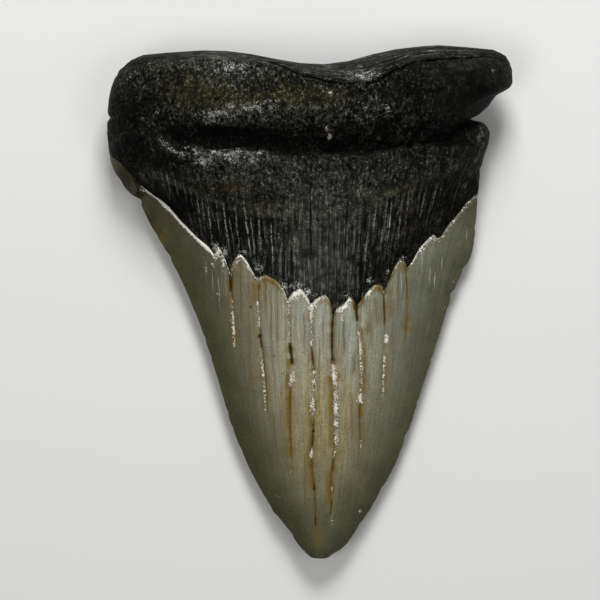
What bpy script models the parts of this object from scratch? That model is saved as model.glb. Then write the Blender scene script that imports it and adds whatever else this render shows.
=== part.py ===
"""Fossil megalodon tooth, lying on its labial face with the lingual face up.

Lengths are in millimetres and the mesh is written in metres. X runs across the tooth,
Y from the tip of the crown to the top of the root, and Z up from the resting flats.
One closed solid is lofted from two sheets, lingual and labial, that meet along the
cutting edges, round the sides of the root and along the top of its basal end.
"""

import math

import bpy
import numpy as np

MM = 0.001
NAME = "tooth"
COLLECTION = "fossil_megalodon_tooth"

# Overall size: across the root, tip to root, and flats to the crest of the bulge
WIDTH = 101.25
LENGTH = 128.0
THICKNESS = 29.0

# Outline of the left side as (y, x), from the tip to the corner of the left lobe
LEFT_SIDE = (
    (-64.0, 2.9), (-63.3, 0.4), (-61.7, -1.4), (-56.7, -5.1), (-49.2, -10.6),
    (-39.2, -15.9), (-29.2, -19.9), (-19.2, -22.9), (-9.2, -26.1), (0.8, -29.9),
    (10.8, -34.6), (20.8, -40.4), (25.7, -42.8), (28.2, -45.6), (33.8, -49.1),
    (39.8, -50.4), (43.2, -50.6), (51.8, -49.9), (57.8, -47.6), (59.2, -46.1),
)  # fmt: skip

# Outline of the right side as (y, x), as it would run without the notch
RIGHT_SIDE = (
    (-64.0, 2.9), (-63.5, 4.4), (-62.5, 5.6), (-61.2, 7.9), (-56.7, 11.6),
    (-49.2, 16.4), (-39.2, 21.9), (-29.2, 25.6), (-19.2, 28.9), (-4.2, 33.6),
    (2.5, 35.9), (8.2, 38.6), (13.2, 40.9), (17.8, 41.6), (26.2, 42.1),
    (33.8, 42.9), (39.8, 44.6), (44.2, 45.4), (50.2, 48.2), (53.0, 50.0),
    (55.2, 50.6), (57.8, 50.5), (59.8, 49.9),
)  # fmt: skip

# Notch under the right lobe as (y, depth), and the share of the width where it begins
NOTCH = (
    (42.8, 0.0), (44.2, 1.0), (45.3, 2.6), (46.0, 5.7), (47.2, 4.2), (50.2, 2.8),
    (51.8, 2.7), (53.0, 1.4), (53.8, 0.4), (55.0, 0.0),
)  # fmt: skip
NOTCH_START = 0.8

# Outline of the top of the root as (x, y), from corner to corner
TOP_SIDE = (
    (-46.1, 59.2), (-44.4, 60.5), (-41.4, 61.7), (-35.4, 62.2), (-26.4, 62.7),
    (-20.4, 62.5), (-14.4, 61.7), (-8.4, 60.5), (-2.4, 59.5), (3.6, 59.2),
    (9.6, 60.0), (15.6, 61.7), (21.6, 63.0), (27.6, 63.7), (32.1, 64.0),
    (39.6, 63.5), (45.6, 63.0), (47.6, 62.2), (48.9, 61.5), (49.9, 59.8),
)  # fmt: skip

# Ragged edge of the enamel on the lingual face as (x, y), dipping at each crack
LINGUAL_BORDER = (
    (-49.6, 36.7), (-47.1, 35.0), (-41.9, 28.7), (-37.4, 25.7), (-31.4, 19.5),
    (-25.1, 13.7), (-23.6, 11.5), (-22.4, 13.5), (-19.6, 6.7), (-17.1, 12.0),
    (-13.1, 6.0), (-10.6, 6.5), (-7.9, 5.0), (-5.4, 0.3), (-2.1, 3.2),
    (0.4, -0.7), (3.9, 1.7), (5.9, -3.0), (9.9, 1.2), (11.6, -1.2),
    (16.1, 4.2), (18.6, 2.7), (22.1, 10.2), (24.1, 8.5), (26.9, 12.7),
    (30.9, 16.7), (31.9, 15.7), (36.9, 21.5), (41.6, 26.7),
)  # fmt: skip

# Lines across the root as (x, y): the lip under the groove, the groove's floor and
# the crest of the bulge. The ridge is given by its drop below the top of the root.
LIP_LINE = (
    (-50.6, 43.0), (-40.0, 40.0), (-33.0, 37.8), (-26.0, 38.7), (-23.6, 38.0),
    (-18.6, 38.7), (-14.4, 37.5), (-6.0, 36.5), (6.4, 35.2), (13.9, 35.2),
    (17.1, 36.5), (30.0, 38.0), (35.0, 37.7), (38.4, 38.6), (42.6, 42.6), (45.4, 44.6),
)  # fmt: skip
GROOVE_LINE = (
    (-50.6, 44.5), (-40.0, 42.0), (-31.0, 40.0), (-15.0, 39.4), (-2.4, 38.4),
    (6.4, 37.4), (15.0, 37.4), (20.0, 38.8), (32.0, 39.8), (37.0, 40.6), (42.0, 43.6),
    (46.2, 46.0),
)  # fmt: skip
CREST_LINE = ((-50.6, 49.5), (-30.0, 48.5), (0.0, 47.5), (25.0, 49.0), (40.0, 51.5), (50.6, 54.2))
RIDGE_DROP = (
    (-50.0, 4.5), (-30.0, 3.8), (-14.0, 2.6), (-8.0, 2.4), (3.6, 4.6), (9.6, 6.0),
    (15.0, 7.2), (20.6, 6.2), (25.0, 4.4), (40.0, 3.4), (50.0, 2.0),
)  # fmt: skip

# Heights along the tooth as (y, z)
EDGE_HEIGHT = ((-64.0, 5.5), (-40.0, 4.0), (18.0, 4.0), (40.0, 7.5), (50.0, 10.0), (64.0, 10.5))
LINGUAL_HEIGHT = (
    (-64.0, 5.5), (-61.0, 7.2), (-50.0, 10.8), (-40.0, 13.2), (-20.0, 17.2), (0.0, 20.3),
    (20.0, 22.6), (34.0, 24.8), (42.0, 27.4), (48.5, 29.0), (54.0, 28.6), (60.0, 27.0),
)  # fmt: skip
LABIAL_HEIGHT = (
    (-64.0, 5.5), (-61.0, 3.6), (-45.0, 1.0), (-28.0, -0.25), (-8.0, 0.6),
    (10.0, 1.8), (30.0, 2.4), (64.0, 2.8),
)  # fmt: skip
TOP_HEIGHT = 16.0

# The two lobes bulge towards the labial side, and rest there: (x, y) of each
LOBES = ((-31.0, 46.5), (27.5, 47.5))
LOBE_RADIUS = 9.0
LOBE_BULGE = 3.3

# Groove between bulge and bourrelet as (x, depth): none on the left lobe
GROOVE_DEPTH = ((-38.0, 0.0), (-28.0, 2.6), (0.0, 3.6), (30.0, 3.6), (40.0, 2.8), (47.0, 1.0))

# Enamel: how far it stands above the dentine on each face, and its cracks
ENAMEL_LINGUAL = 0.5
ENAMEL_LABIAL = 0.3
ENAMEL_WALL = 0.25
LABIAL_ARCH = 6.0
CRACK_DEPTH = 0.45
CRACK_FADE = 8.0

# Cracks in the enamel, left to right: (x, y) at the border and (x, y) at the lower end
CRACKS = (
    ((-19.6, 6.7), (-18.6, -13.0)),
    ((-13.1, 6.0), (-10.6, -26.7)),
    ((-5.4, 0.3), (-4.9, -41.7)),
    ((0.4, -0.7), (1.6, -56.7)),
    ((5.9, -3.0), (5.1, -53.0)),
    ((11.6, -1.2), (12.9, -36.7)),
    ((18.6, 2.7), (18.1, -25.5)),
    ((24.1, 8.5), (23.6, -11.7)),
)

# Columns of the loft: in each outer plate and in each plate between two cracks
OUTER_COLUMNS = 10
INNER_COLUMNS = 4

# Rows of the loft, tip to top: crown, enamel's wall, bourrelet, lip, bulge, brow, basal end
ROWS = (21, 1, 8, 2, 5, 3, 5)
CROWN, WALL, BOURRELET, LIP, BULGE, BROW, BASAL_END = range(len(ROWS))
GROOVE_ROW = 4

# Low lumps and dents of the root as (x, y, radius, height)
LUMPS = (
    (-44.0, 50.0, 4.5, 0.5), (-37.0, 43.0, 4.0, -0.4), (-33.0, 56.0, 5.0, -0.4),
    (-24.0, 50.5, 5.0, 0.5), (-26.0, 38.2, 2.2, 0.8), (-18.0, 38.2, 2.4, 0.7),
    (-12.0, 55.0, 4.5, -0.4), (-6.0, 48.5, 4.0, 0.4), (5.0, 41.5, 2.4, 0.9),
    (9.0, 46.5, 3.5, -0.5), (13.0, 54.5, 3.5, 0.5), (19.5, 48.0, 3.0, 0.5),
    (26.0, 55.0, 5.0, -0.4), (33.0, 50.0, 4.5, 0.4), (40.0, 56.5, 4.5, 0.4),
    (-30.0, 30.0, 6.0, -0.3), (12.0, 27.0, 7.0, 0.3), (36.0, 33.0, 4.5, 0.4),
)  # fmt: skip

STONE_COLOUR = (0.075, 0.072, 0.058, 1.0)
STONE_ROUGHNESS = 0.5
SHARP_ANGLE = math.radians(35)


def clear_scene():
    """Remove every object that the file starts with."""
    for item in list(bpy.data.objects):
        bpy.data.objects.remove(item, do_unlink=True)


def curve(points, at):
    """Smooth curve through points sorted by their first value, without overshoot."""
    knots, values = np.array(points, float).T
    gaps = np.diff(knots)
    slopes = np.diff(values) / gaps
    before, after = slopes[:-1], slopes[1:]
    same_way = before * after > 0
    tangents = np.concatenate([slopes[:1], np.zeros(len(before)), slopes[-1:]])
    tangents[1:-1][same_way] = (2 * before * after)[same_way] / (before + after)[same_way]
    place = np.clip(at, knots[0], knots[-1])
    cell = np.clip(np.searchsorted(knots, place) - 1, 0, len(gaps) - 1)
    t = (place - knots[cell]) / gaps[cell]
    leaving = tangents[cell] - slopes[cell]
    arriving = tangents[cell + 1] - slopes[cell]
    straight = values[cell] * (1 - t) + values[cell + 1] * t
    return straight + t * (1 - t) * gaps[cell] * (leaving * (1 - t) - arriving * t)


def ease(value, low, high):
    """0 below low, 1 above high, with a smooth step between."""
    t = np.clip((value - low) / (high - low), 0, 1)
    return t * t * (3 - 2 * t)


def sides(y):
    """X of the left and right outline at each y."""
    return curve(LEFT_SIDE, y), curve(RIGHT_SIDE, y)


def share(x, y):
    """How far x lies from the left outline to the right one, from 0 to 1."""
    left, right = sides(y)
    return (x - left) / (right - left)


def crack_share(crack, y):
    """Share at which a crack's column runs: straight along the crack, steady beyond it."""
    (top_x, top_y), (low_x, low_y) = crack
    level = np.clip(y, low_y, top_y)
    x = low_x + (top_x - low_x) * (level - low_y) / (top_y - low_y)
    return share(x, level)


def column_plan():
    """Plate number and place within the plate of every column, and the columns on cracks."""
    last = len(CRACKS)
    counts = [OUTER_COLUMNS] + [INNER_COLUMNS] * (last - 1) + [OUTER_COLUMNS]
    plates = np.repeat(np.arange(last + 1), counts)
    places = np.concatenate([np.arange(count) / count for count in counts])
    crack_columns = np.cumsum(counts)[:-1]
    return np.append(plates, last), np.append(places, 1.0), crack_columns


PLATE, PLACE, CRACK_COLUMNS = column_plan()


def column_share(y):
    """Share of each column at heights y, an array of rows by columns."""
    guides = np.stack([np.zeros_like(y)] + [crack_share(c, y) for c in CRACKS] + [np.ones_like(y)])
    outer = (PLATE == 0) | (PLATE == len(CRACKS))
    round_place = (1 - np.cos(np.pi * PLACE)) / 2
    bunching = 1 - 0.8 * ease(y, 5.0, 35.0)
    tight_place = PLACE - bunching * np.sin(2 * np.pi * PLACE) / (2 * np.pi)
    place = np.where(outer, round_place, tight_place)
    low = np.take_along_axis(guides, np.broadcast_to(PLATE, y.shape)[None], 0)[0]
    high = np.take_along_axis(guides, np.broadcast_to(PLATE + 1, y.shape)[None], 0)[0]
    return low + (high - low) * place


def column_x(y):
    """X of each column at heights y, before the notch is drawn in."""
    left, right = sides(y)
    return left + (right - left) * column_share(y)


def crossing(line):
    """Y at which each column crosses a line given as (x, y) points."""
    points = np.array(line)
    columns = np.arange(len(PLATE))
    shares = share(points[:, 0], points[:, 1])
    y = np.interp(np.linspace(0, 1, len(columns)), shares, points[:, 1])
    for _ in range(12):
        y = (y + np.interp(column_share(y[None])[0], shares, points[:, 1])) / 2
    return y


def lingual_lines():
    """Y of the lines that the lingual rows follow, from tip to top, one row for each."""
    border = crossing(LINGUAL_BORDER)
    top = crossing(TOP_SIDE)
    ridge = top - curve(RIDGE_DROP, column_x(top[None])[0])
    return np.stack([
        np.full_like(border, LEFT_SIDE[0][0]),
        border,
        border + ENAMEL_WALL,
        crossing(LIP_LINE),
        crossing(GROOVE_LINE),
        crossing(CREST_LINE),
        ridge,
        top,
    ])


def labial_lines(lingual):
    """The same lines on the labial face: straight from side to side, or arched."""
    across = column_share(np.zeros((1, len(PLATE))))[0]
    lines = lingual[:, :1] + (lingual[:, -1:] - lingual[:, :1]) * across
    arch = 4 * across * (1 - across)
    lines[1:3] += LABIAL_ARCH * arch
    lines[-1] = lingual[-1]
    return lines


def rows_between(lines):
    """Y of every row, and each row's section and place within it.

    On the basal end the rows gather towards the top, where the surface turns over.
    """
    sections = np.repeat(np.arange(len(ROWS)), ROWS)
    places = np.concatenate([np.arange(1, count + 1) / count for count in ROWS])
    risen = np.where(sections == BASAL_END, np.sin(places * np.pi / 2) ** 1.3, places)
    y = lines[sections] + (lines[sections + 1] - lines[sections]) * risen[:, None]
    return y, sections, places


def grid(lines):
    """X, Y, side place from -1 to 1, section and place of every row and column."""
    y, sections, places = rows_between(lines)
    across = column_share(y)
    groove = lines[GROOVE_ROW]
    notch = curve(NOTCH, y - groove + groove[-1]) * ease(across, NOTCH_START, 1.0)
    return column_x(y) - notch, y, 2 * across - 1, sections[:, None], places[:, None]


def lumps(x, y):
    """Height of the root's lumps, each a bell round its own centre."""
    height = np.zeros_like(x)
    for lump_x, lump_y, radius, size in LUMPS:
        height += size * np.exp(-((x - lump_x) ** 2 + (y - lump_y) ** 2) / radius**2)
    return height


def fullness(side, y, crown_power, root_power):
    """Cross-section from 1 in the middle to 0 at the sides: a lens on the crown, round on the root."""
    root = ease(y, 15.0, 46.0)
    reach = 2.0 + 0.8 * root
    power = crown_power + (root_power - crown_power) * root
    return np.clip(1 - np.abs(side) ** reach, 0, 1) ** power


def crack_grooves(y):
    """Depth of the V grooves along the cracks, on the columns that follow them."""
    depth = np.zeros_like(y)
    for column, (_, (_, low_y)) in zip(CRACK_COLUMNS, CRACKS):
        depth[:, column] = CRACK_DEPTH * ease(y[:, column], low_y, low_y + CRACK_FADE)
    return depth


def over_the_top(z, sections, places, top_z):
    """Bring the basal end, which leaves the face level, round and down to the top line."""
    start_z = z[np.flatnonzero(sections == BROW)[-1]]
    bent_z = top_z + (start_z - top_z) * np.cos(places * np.pi / 2) ** 1.1
    return np.where(sections == BASAL_END, bent_z, z)


def top_line_height(lines):
    """Z of the line where both sheets meet on the basal end."""
    y = lines[-1]
    side = 2 * column_share(y[None])[0] - 1
    edge = curve(EDGE_HEIGHT, y)
    return edge + (TOP_HEIGHT - edge) * fullness(side, y, 1.2, 0.5)


def lingual_sheet(lines):
    """Points of the lingual face, rows by columns, without the tip."""
    x, y, side, sections, places = grid(lines)
    edge = curve(EDGE_HEIGHT, y)
    full = fullness(side, y, 1.15, 0.5)
    groove_share = np.select(
        [sections == LIP, sections == BULGE],
        [ease(places, 0, 1), 1 - ease(places, 0, 1)],
        0.0,
    )
    z = edge + (curve(LINGUAL_HEIGHT, y) - edge) * full
    z = z - groove_share * curve(GROOVE_DEPTH, x) * full
    z = z + lumps(x, y) * np.minimum(1, 2 * full)
    z = z + np.where(sections == CROWN, ENAMEL_LINGUAL * full - crack_grooves(y), 0)
    z = over_the_top(z, sections, places, top_line_height(lines))
    return np.stack([x, y, z], -1)


def labial_sheet(lines):
    """Points of the labial face, rows by columns, without the tip."""
    x, y, side, sections, places = grid(lines)
    edge = curve(EDGE_HEIGHT, y)
    full = fullness(side * np.abs(side), y, 1.0, 0.5)
    middle = curve(LABIAL_HEIGHT, y)
    for lobe_x, lobe_y in LOBES:
        distance = ((x - lobe_x) ** 2 + (y - lobe_y) ** 2) / (2 * LOBE_RADIUS**2)
        middle = middle - LOBE_BULGE * np.exp(-distance)
    z = edge + (middle - edge) * full
    z = z - np.where(sections == CROWN, ENAMEL_LABIAL * full * ease(y, -20.0, 20.0), 0)
    z = over_the_top(z, sections, places, top_line_height(lines))
    return np.stack([x, y, np.maximum(z, 0)], -1)


def loft_faces(front, back):
    """Faces of the two sheets from their point numbers, whose edges and top row are shared."""
    faces = []
    last_row, last_column = front.shape[0] - 1, front.shape[1] - 1
    for numbers, outwards in ((front, 1), (back, -1)):
        for row in range(last_row):
            for column in range(last_column):
                a, b = numbers[row, column], numbers[row, column + 1]
                c, d = numbers[row + 1, column + 1], numbers[row + 1, column]
                if row == 0:
                    parts = [(a, c, d)]
                elif row == last_row - 1 and column == 0:
                    parts = [(a, b, d), (b, c, d)]
                elif row == last_row - 1 and column == last_column - 1:
                    parts = [(a, b, c), (a, c, d)]
                else:
                    parts = [(a, b, c, d)]
                faces += [part[::outwards] for part in parts]
    return faces


def loft(lingual, labial):
    """One closed mesh from the two sheets: (points, faces)."""
    rows, columns = lingual.shape[:2]
    tip = (LEFT_SIDE[0][1], LEFT_SIDE[0][0], EDGE_HEIGHT[0][1])
    front = np.zeros((rows + 1, columns), int)
    front[1:] = 1 + np.arange(rows * columns).reshape(rows, columns)
    back = front.copy()
    inner = labial[:-1, 1:-1]
    back[1:-1, 1:-1] = 1 + rows * columns + np.arange(inner[..., 0].size).reshape(inner.shape[:2])
    points = np.vstack([tip, lingual.reshape(-1, 3), inner.reshape(-1, 3)])
    return points, loft_faces(front, back)


def fit_to_size(points):
    """Stretch the points by the last hair, so that the solid has exactly its overall size."""
    low, high = points.min(axis=0), points.max(axis=0)
    size = np.array([WIDTH, LENGTH, THICKNESS])
    middle = np.array([(low[0] + high[0]) / 2, (low[1] + high[1]) / 2, low[2]])
    return (points - middle) * size / (high - low)


def stone_material():
    """Dark fossil stone with a low sheen."""
    material = bpy.data.materials.new("fossil_stone")
    material.use_nodes = True
    shader = material.node_tree.nodes["Principled BSDF"]
    shader.inputs["Base Color"].default_value = STONE_COLOUR
    shader.inputs["Roughness"].default_value = STONE_ROUGHNESS
    shader.inputs["Metallic"].default_value = 0.0
    return material


def build_tooth():
    """Make the tooth's object in its own collection."""
    lines = lingual_lines()
    lingual = lingual_sheet(lines)
    labial = labial_sheet(labial_lines(lines))
    points, faces = loft(lingual, labial)
    mesh = bpy.data.meshes.new(NAME)
    mesh.from_pydata((fit_to_size(points) * MM).tolist(), [], [tuple(int(i) for i in face) for face in faces])
    mesh.shade_smooth()
    mesh.set_sharp_from_angle(angle=SHARP_ANGLE)
    mesh.materials.append(stone_material())
    tooth = bpy.data.objects.new(NAME, mesh)
    collection = bpy.data.collections.new(COLLECTION)
    bpy.context.scene.collection.children.link(collection)
    collection.objects.link(tooth)
    return tooth


clear_scene()
build_tooth()
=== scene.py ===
"""Looks of the fossil megalodon tooth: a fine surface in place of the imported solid, and a plain studio.

Lengths are worked out in millimetres and meshes are written in metres. X runs across the tooth, Y from
the tip of the crown to the top of the root, and Z up. The tooth lies on its labial face, lingual face up.
"""

import logging
import math
from collections.abc import Iterable
from dataclasses import dataclass, field
from enum import Enum, IntEnum
from functools import partialmethod, reduce
from itertools import chain

import bpy
import numpy as np
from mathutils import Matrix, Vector


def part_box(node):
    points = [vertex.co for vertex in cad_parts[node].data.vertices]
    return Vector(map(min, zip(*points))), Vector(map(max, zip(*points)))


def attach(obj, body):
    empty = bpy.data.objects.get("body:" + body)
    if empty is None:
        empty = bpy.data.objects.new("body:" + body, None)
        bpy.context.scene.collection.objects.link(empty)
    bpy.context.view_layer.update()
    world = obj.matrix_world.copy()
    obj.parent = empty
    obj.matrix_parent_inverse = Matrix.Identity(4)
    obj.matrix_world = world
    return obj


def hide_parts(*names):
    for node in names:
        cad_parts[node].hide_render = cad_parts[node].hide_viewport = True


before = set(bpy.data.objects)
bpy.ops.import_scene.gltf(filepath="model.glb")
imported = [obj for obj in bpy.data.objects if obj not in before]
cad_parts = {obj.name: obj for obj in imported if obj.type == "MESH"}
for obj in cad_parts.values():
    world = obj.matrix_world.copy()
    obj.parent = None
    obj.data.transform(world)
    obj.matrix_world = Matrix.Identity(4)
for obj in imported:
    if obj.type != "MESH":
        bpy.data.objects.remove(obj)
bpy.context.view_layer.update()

LOG = logging.getLogger("fossil_tooth")
MM = 0.001

Array = np.ndarray
Pair = tuple[float, float]
Points = tuple[Pair, ...]
Triple = tuple[float, float, float]
Colour = Triple
Row = tuple[float, ...]
Table = tuple[Row, ...]


def smooth_curve(points: Points, at: Array) -> Array:
    """Smooth curve through points sorted by their first value, without overshoot.

    Between two points it is their straight line plus t(1 - t) times a blend of the two tangents, and a
    tangent is the harmonic mean of the slopes on both sides, or 0 where the curve turns back.

    Args:
        points: pairs of a place and the value there.
        at: places to read.

    Returns:
        The value at each place; steady beyond the ends.
    """
    knots, values = np.array(points, float).T
    gaps = np.diff(knots)
    slopes = np.diff(values) / gaps
    before, after = slopes[:-1], slopes[1:]
    same_way = before * after > 0
    tangents = np.concatenate([slopes[:1], np.zeros(len(before)), slopes[-1:]])
    tangents[1:-1][same_way] = (2 * before * after)[same_way] / (before + after)[same_way]
    place = np.clip(at, knots[0], knots[-1])
    cell = np.clip(np.searchsorted(knots, place) - 1, 0, len(gaps) - 1)
    t = (place - knots[cell]) / gaps[cell]
    leaving = tangents[cell] - slopes[cell]
    arriving = tangents[cell + 1] - slopes[cell]
    straight = values[cell] * (1 - t) + values[cell + 1] * t
    return straight + t * (1 - t) * gaps[cell] * (leaving * (1 - t) - arriving * t)


def ease(value: Array, low: float, high: float) -> Array:
    """Smooth step: 0 below low, 1 above high, and t * t * (3 - 2 t) between."""
    t = np.clip((value - low) / (high - low), 0, 1)
    return t * t * (3 - 2 * t)


def window(value: Array, start: float, full: float, fade: float, end: float) -> Array:
    """1 from full to fade, and smooth steps down to 0 at start and at end."""
    return ease(value, start, full) * (1 - ease(value, fade, end))


def bell(distance: Array) -> Array:
    """Bell curve: 1 at distance 0, 0.37 at distance 1, almost 0 at distance 2."""
    return np.exp(-(distance**2))


def oval(spot: Row, x: Array, y: Array) -> Array:
    """A soft oval spot, given as (x, y, half width, half height, strength)."""
    middle_x, middle_y, wide, tall, strength = spot
    return strength * bell(np.hypot((x - middle_x) / wide, (y - middle_y) / tall))


def spots(table: Table, x: Array, y: Array) -> Array:
    """Sum of soft oval spots."""
    return sum(oval(spot, x, y) for spot in table)


def put(name: str, data: bpy.types.ID) -> bpy.types.Object:
    """Put a new object in the scene.

    Args:
        name: its name.
        data: its mesh, light or camera.

    Returns:
        The object, at the origin.
    """
    thing = bpy.data.objects.new(name, data)
    bpy.context.scene.collection.objects.link(thing)
    return thing


class Pattern(IntEnum):
    """The random patterns; the number is the seed of the pattern's lattice."""

    EDGE_WEAR = 5
    TORN_LINES = 7
    ENAMEL_WAVES = 11
    ENAMEL_GRAIN = 12
    FIBRES = 21
    LUMPS = 22
    CRUMBS = 23
    PORES = 24
    CRACK_WANDER = 31
    CRUMBLY_EDGE = 33
    SHELF_EDGE = 34
    GASHES = 35
    CRACK_FILL = 41
    LIP_RUBBLE = 43
    RUST_PATCHES = 44
    ENAMEL_TONE = 51
    ROOT_TONE = 52
    LABIAL_CRACKS = 61
    LABIAL_WAVES = 62
    LABIAL_FIBRES = 63
    LABIAL_CRUMBS = 64


@dataclass
class Lattice:
    """Repeatable random values on a square lattice, and the patterns that are read from them."""

    seed: Pattern
    size: int = 192

    LAYER_STEP = (17.3, 5.1)
    FAR = 9.0

    def __post_init__(self) -> None:
        """Draw the lattice's values and the place of the point in each cell."""
        draw = np.random.default_rng(int(self.seed))
        self.values = draw.uniform(-1.0, 1.0, (self.size, self.size))
        self.points = draw.uniform(0.1, 0.9, (2, self.size, self.size))

    def value(self, u: Array, v: Array) -> Array:
        """Noise from -1 to 1: the four values round each point, blended by smooth steps.

        Args:
            u, v: the places.

        Returns:
            The noise at each place.
        """
        column, row = np.floor(u).astype(int), np.floor(v).astype(int)
        across, up = ease(u - column, 0, 1), ease(v - row, 0, 1)
        corners = [
            [self.values[(row + j) % self.size, (column + i) % self.size] for i in (0, 1)]
            for j in (0, 1)
        ]
        low, high = (left + (right - left) * across for left, right in corners)
        return low + (high - low) * up

    def layers(self, u: Array, v: Array, count: int = 3) -> Array:
        """Sum of noises, each half as high and twice as fine as the one before it.

        Args:
            u, v: the places.
            count: number of noises.

        Returns:
            The sum at each place.
        """
        total = np.zeros(np.broadcast(u, v).shape)
        for layer in range(count):
            finer = 2**layer
            shift_u, shift_v = (step * layer for step in self.LAYER_STEP)
            total = total + self.value(u * finer + shift_u, v * finer + shift_v) / finer
        return total

    def pits(self, u: Array, v: Array) -> Array:
        """Distance from each place to the nearest of many points, one at random in each cell.

        Args:
            u, v: the places.

        Returns:
            The distances, in cells of the lattice.
        """
        column, row = np.floor(u).astype(int), np.floor(v).astype(int)
        nearest = np.full(np.broadcast(u, v).shape, self.FAR)
        for j in (-1, 0, 1):
            for i in (-1, 0, 1):
                point = self.points[:, (row + j) % self.size, (column + i) % self.size]
                away = np.hypot(column + i + point[0] - u, row + j + point[1] - v)
                nearest = np.minimum(nearest, away)
        return nearest


@dataclass(frozen=True)
class Texture:
    """One layer of random relief or tone: its pattern, its strength and the size of its waves."""

    pattern: Pattern
    strength: float
    wide: float
    tall: float = 1.0
    layers: int = 3
    shift: float = 0.0

    def at(self, u: Array, v: Array) -> Array:
        """Strength times the pattern's layered noise at u / wide + shift and v / tall."""
        lattice = Lattice(self.pattern)
        return self.strength * lattice.layers(u / self.wide + self.shift, v / self.tall, self.layers)

    def along(self, u: Array, row: float) -> Array:
        """The texture along one line of its lattice."""
        return self.at(u, np.full_like(u, row))


Textures = tuple[Texture, ...]


def rough(textures: Textures, u: Array, v: Array) -> Array:
    """Sum of textures."""
    return sum(texture.at(u, v) for texture in textures)


class Mark(IntEnum):
    """What has settled on the fossil, and painted shade in some cracks; the number is the mark's place in the
    marks attribute.
    """

    CHALK = 0
    RUST = 1
    # Pitch, and painted shade in the root's ridge cracks and in the gap by the left sliver
    PITCH = 2


Amounts = Iterable[tuple[Mark, Array]]


@dataclass(frozen=True)
class Crack:
    """A crack down a face: its path as (x, y) from the top down, what fills it, and its groove.

    A filling is (mark, from height, down to height, strength, half width, shift along x).
    """

    path: Points
    fillings: tuple[tuple[float, ...], ...]
    depth: float
    width: float = 0.28

    FADE = 8.0
    FLARE = 1.2
    SOFT_END = 0.5

    def x_at(self, y: Array) -> Array:
        """X of the crack at each height, straight between the path's points."""
        x, heights = np.array(self.path[::-1], float).T
        return np.interp(y, heights, x)

    def groove(self, x: Array, y: Array) -> Array:
        """Depth of the crack's groove: a bell across it, wider at the top, fading out at its low end.

        Args:
            x, y: the points.

        Returns:
            The depth at each point.
        """
        top, low = self.path[0][1], self.path[-1][1]
        width = self.width * (1 + self.FLARE * ease(y, top - 4, top))
        fade = window(y, low, low + self.FADE, top, top + 1.5)
        return self.depth * fade * bell((x - self.x_at(y)) / width)

    def filled(self, x: Array, y: Array, uneven: Array, tearing: Triple) -> Amounts:
        """Mark and amount of each filling, a bell across the crack that is torn along it.

        Args:
            x, y: the points.
            uneven: noise round 1 along the crack.
            tearing: share of the noise that each mark takes.

        Yields:
            The mark and the amount of each filling.
        """
        soft = self.SOFT_END
        for mark, top, low, strength, width, shift in self.fillings:
            torn = 1 + tearing[mark] * (uneven - 1)
            run = window(y, low - soft, low + soft, top - soft, top + soft)
            yield mark, strength * torn * run * bell((x - self.x_at(y) - shift) / width)


class Section(IntEnum):
    """Bands of rows from the tip to the top of the root, between the lines that part them."""

    CROWN = 0
    WALL = 1
    BOURRELET = 2
    LIP = 3
    BULGE = 4
    BROW = 5
    BASAL_END = 6


class Line(IntEnum):
    """The lines that part the bands: each section lies between the line of its number and the next."""

    TIP = 0
    BORDER = 1
    WALL_FOOT = 2
    LIP = 3
    GROOVE = 4
    CREST = 5
    RIDGE = 6
    TOP = 7


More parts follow.
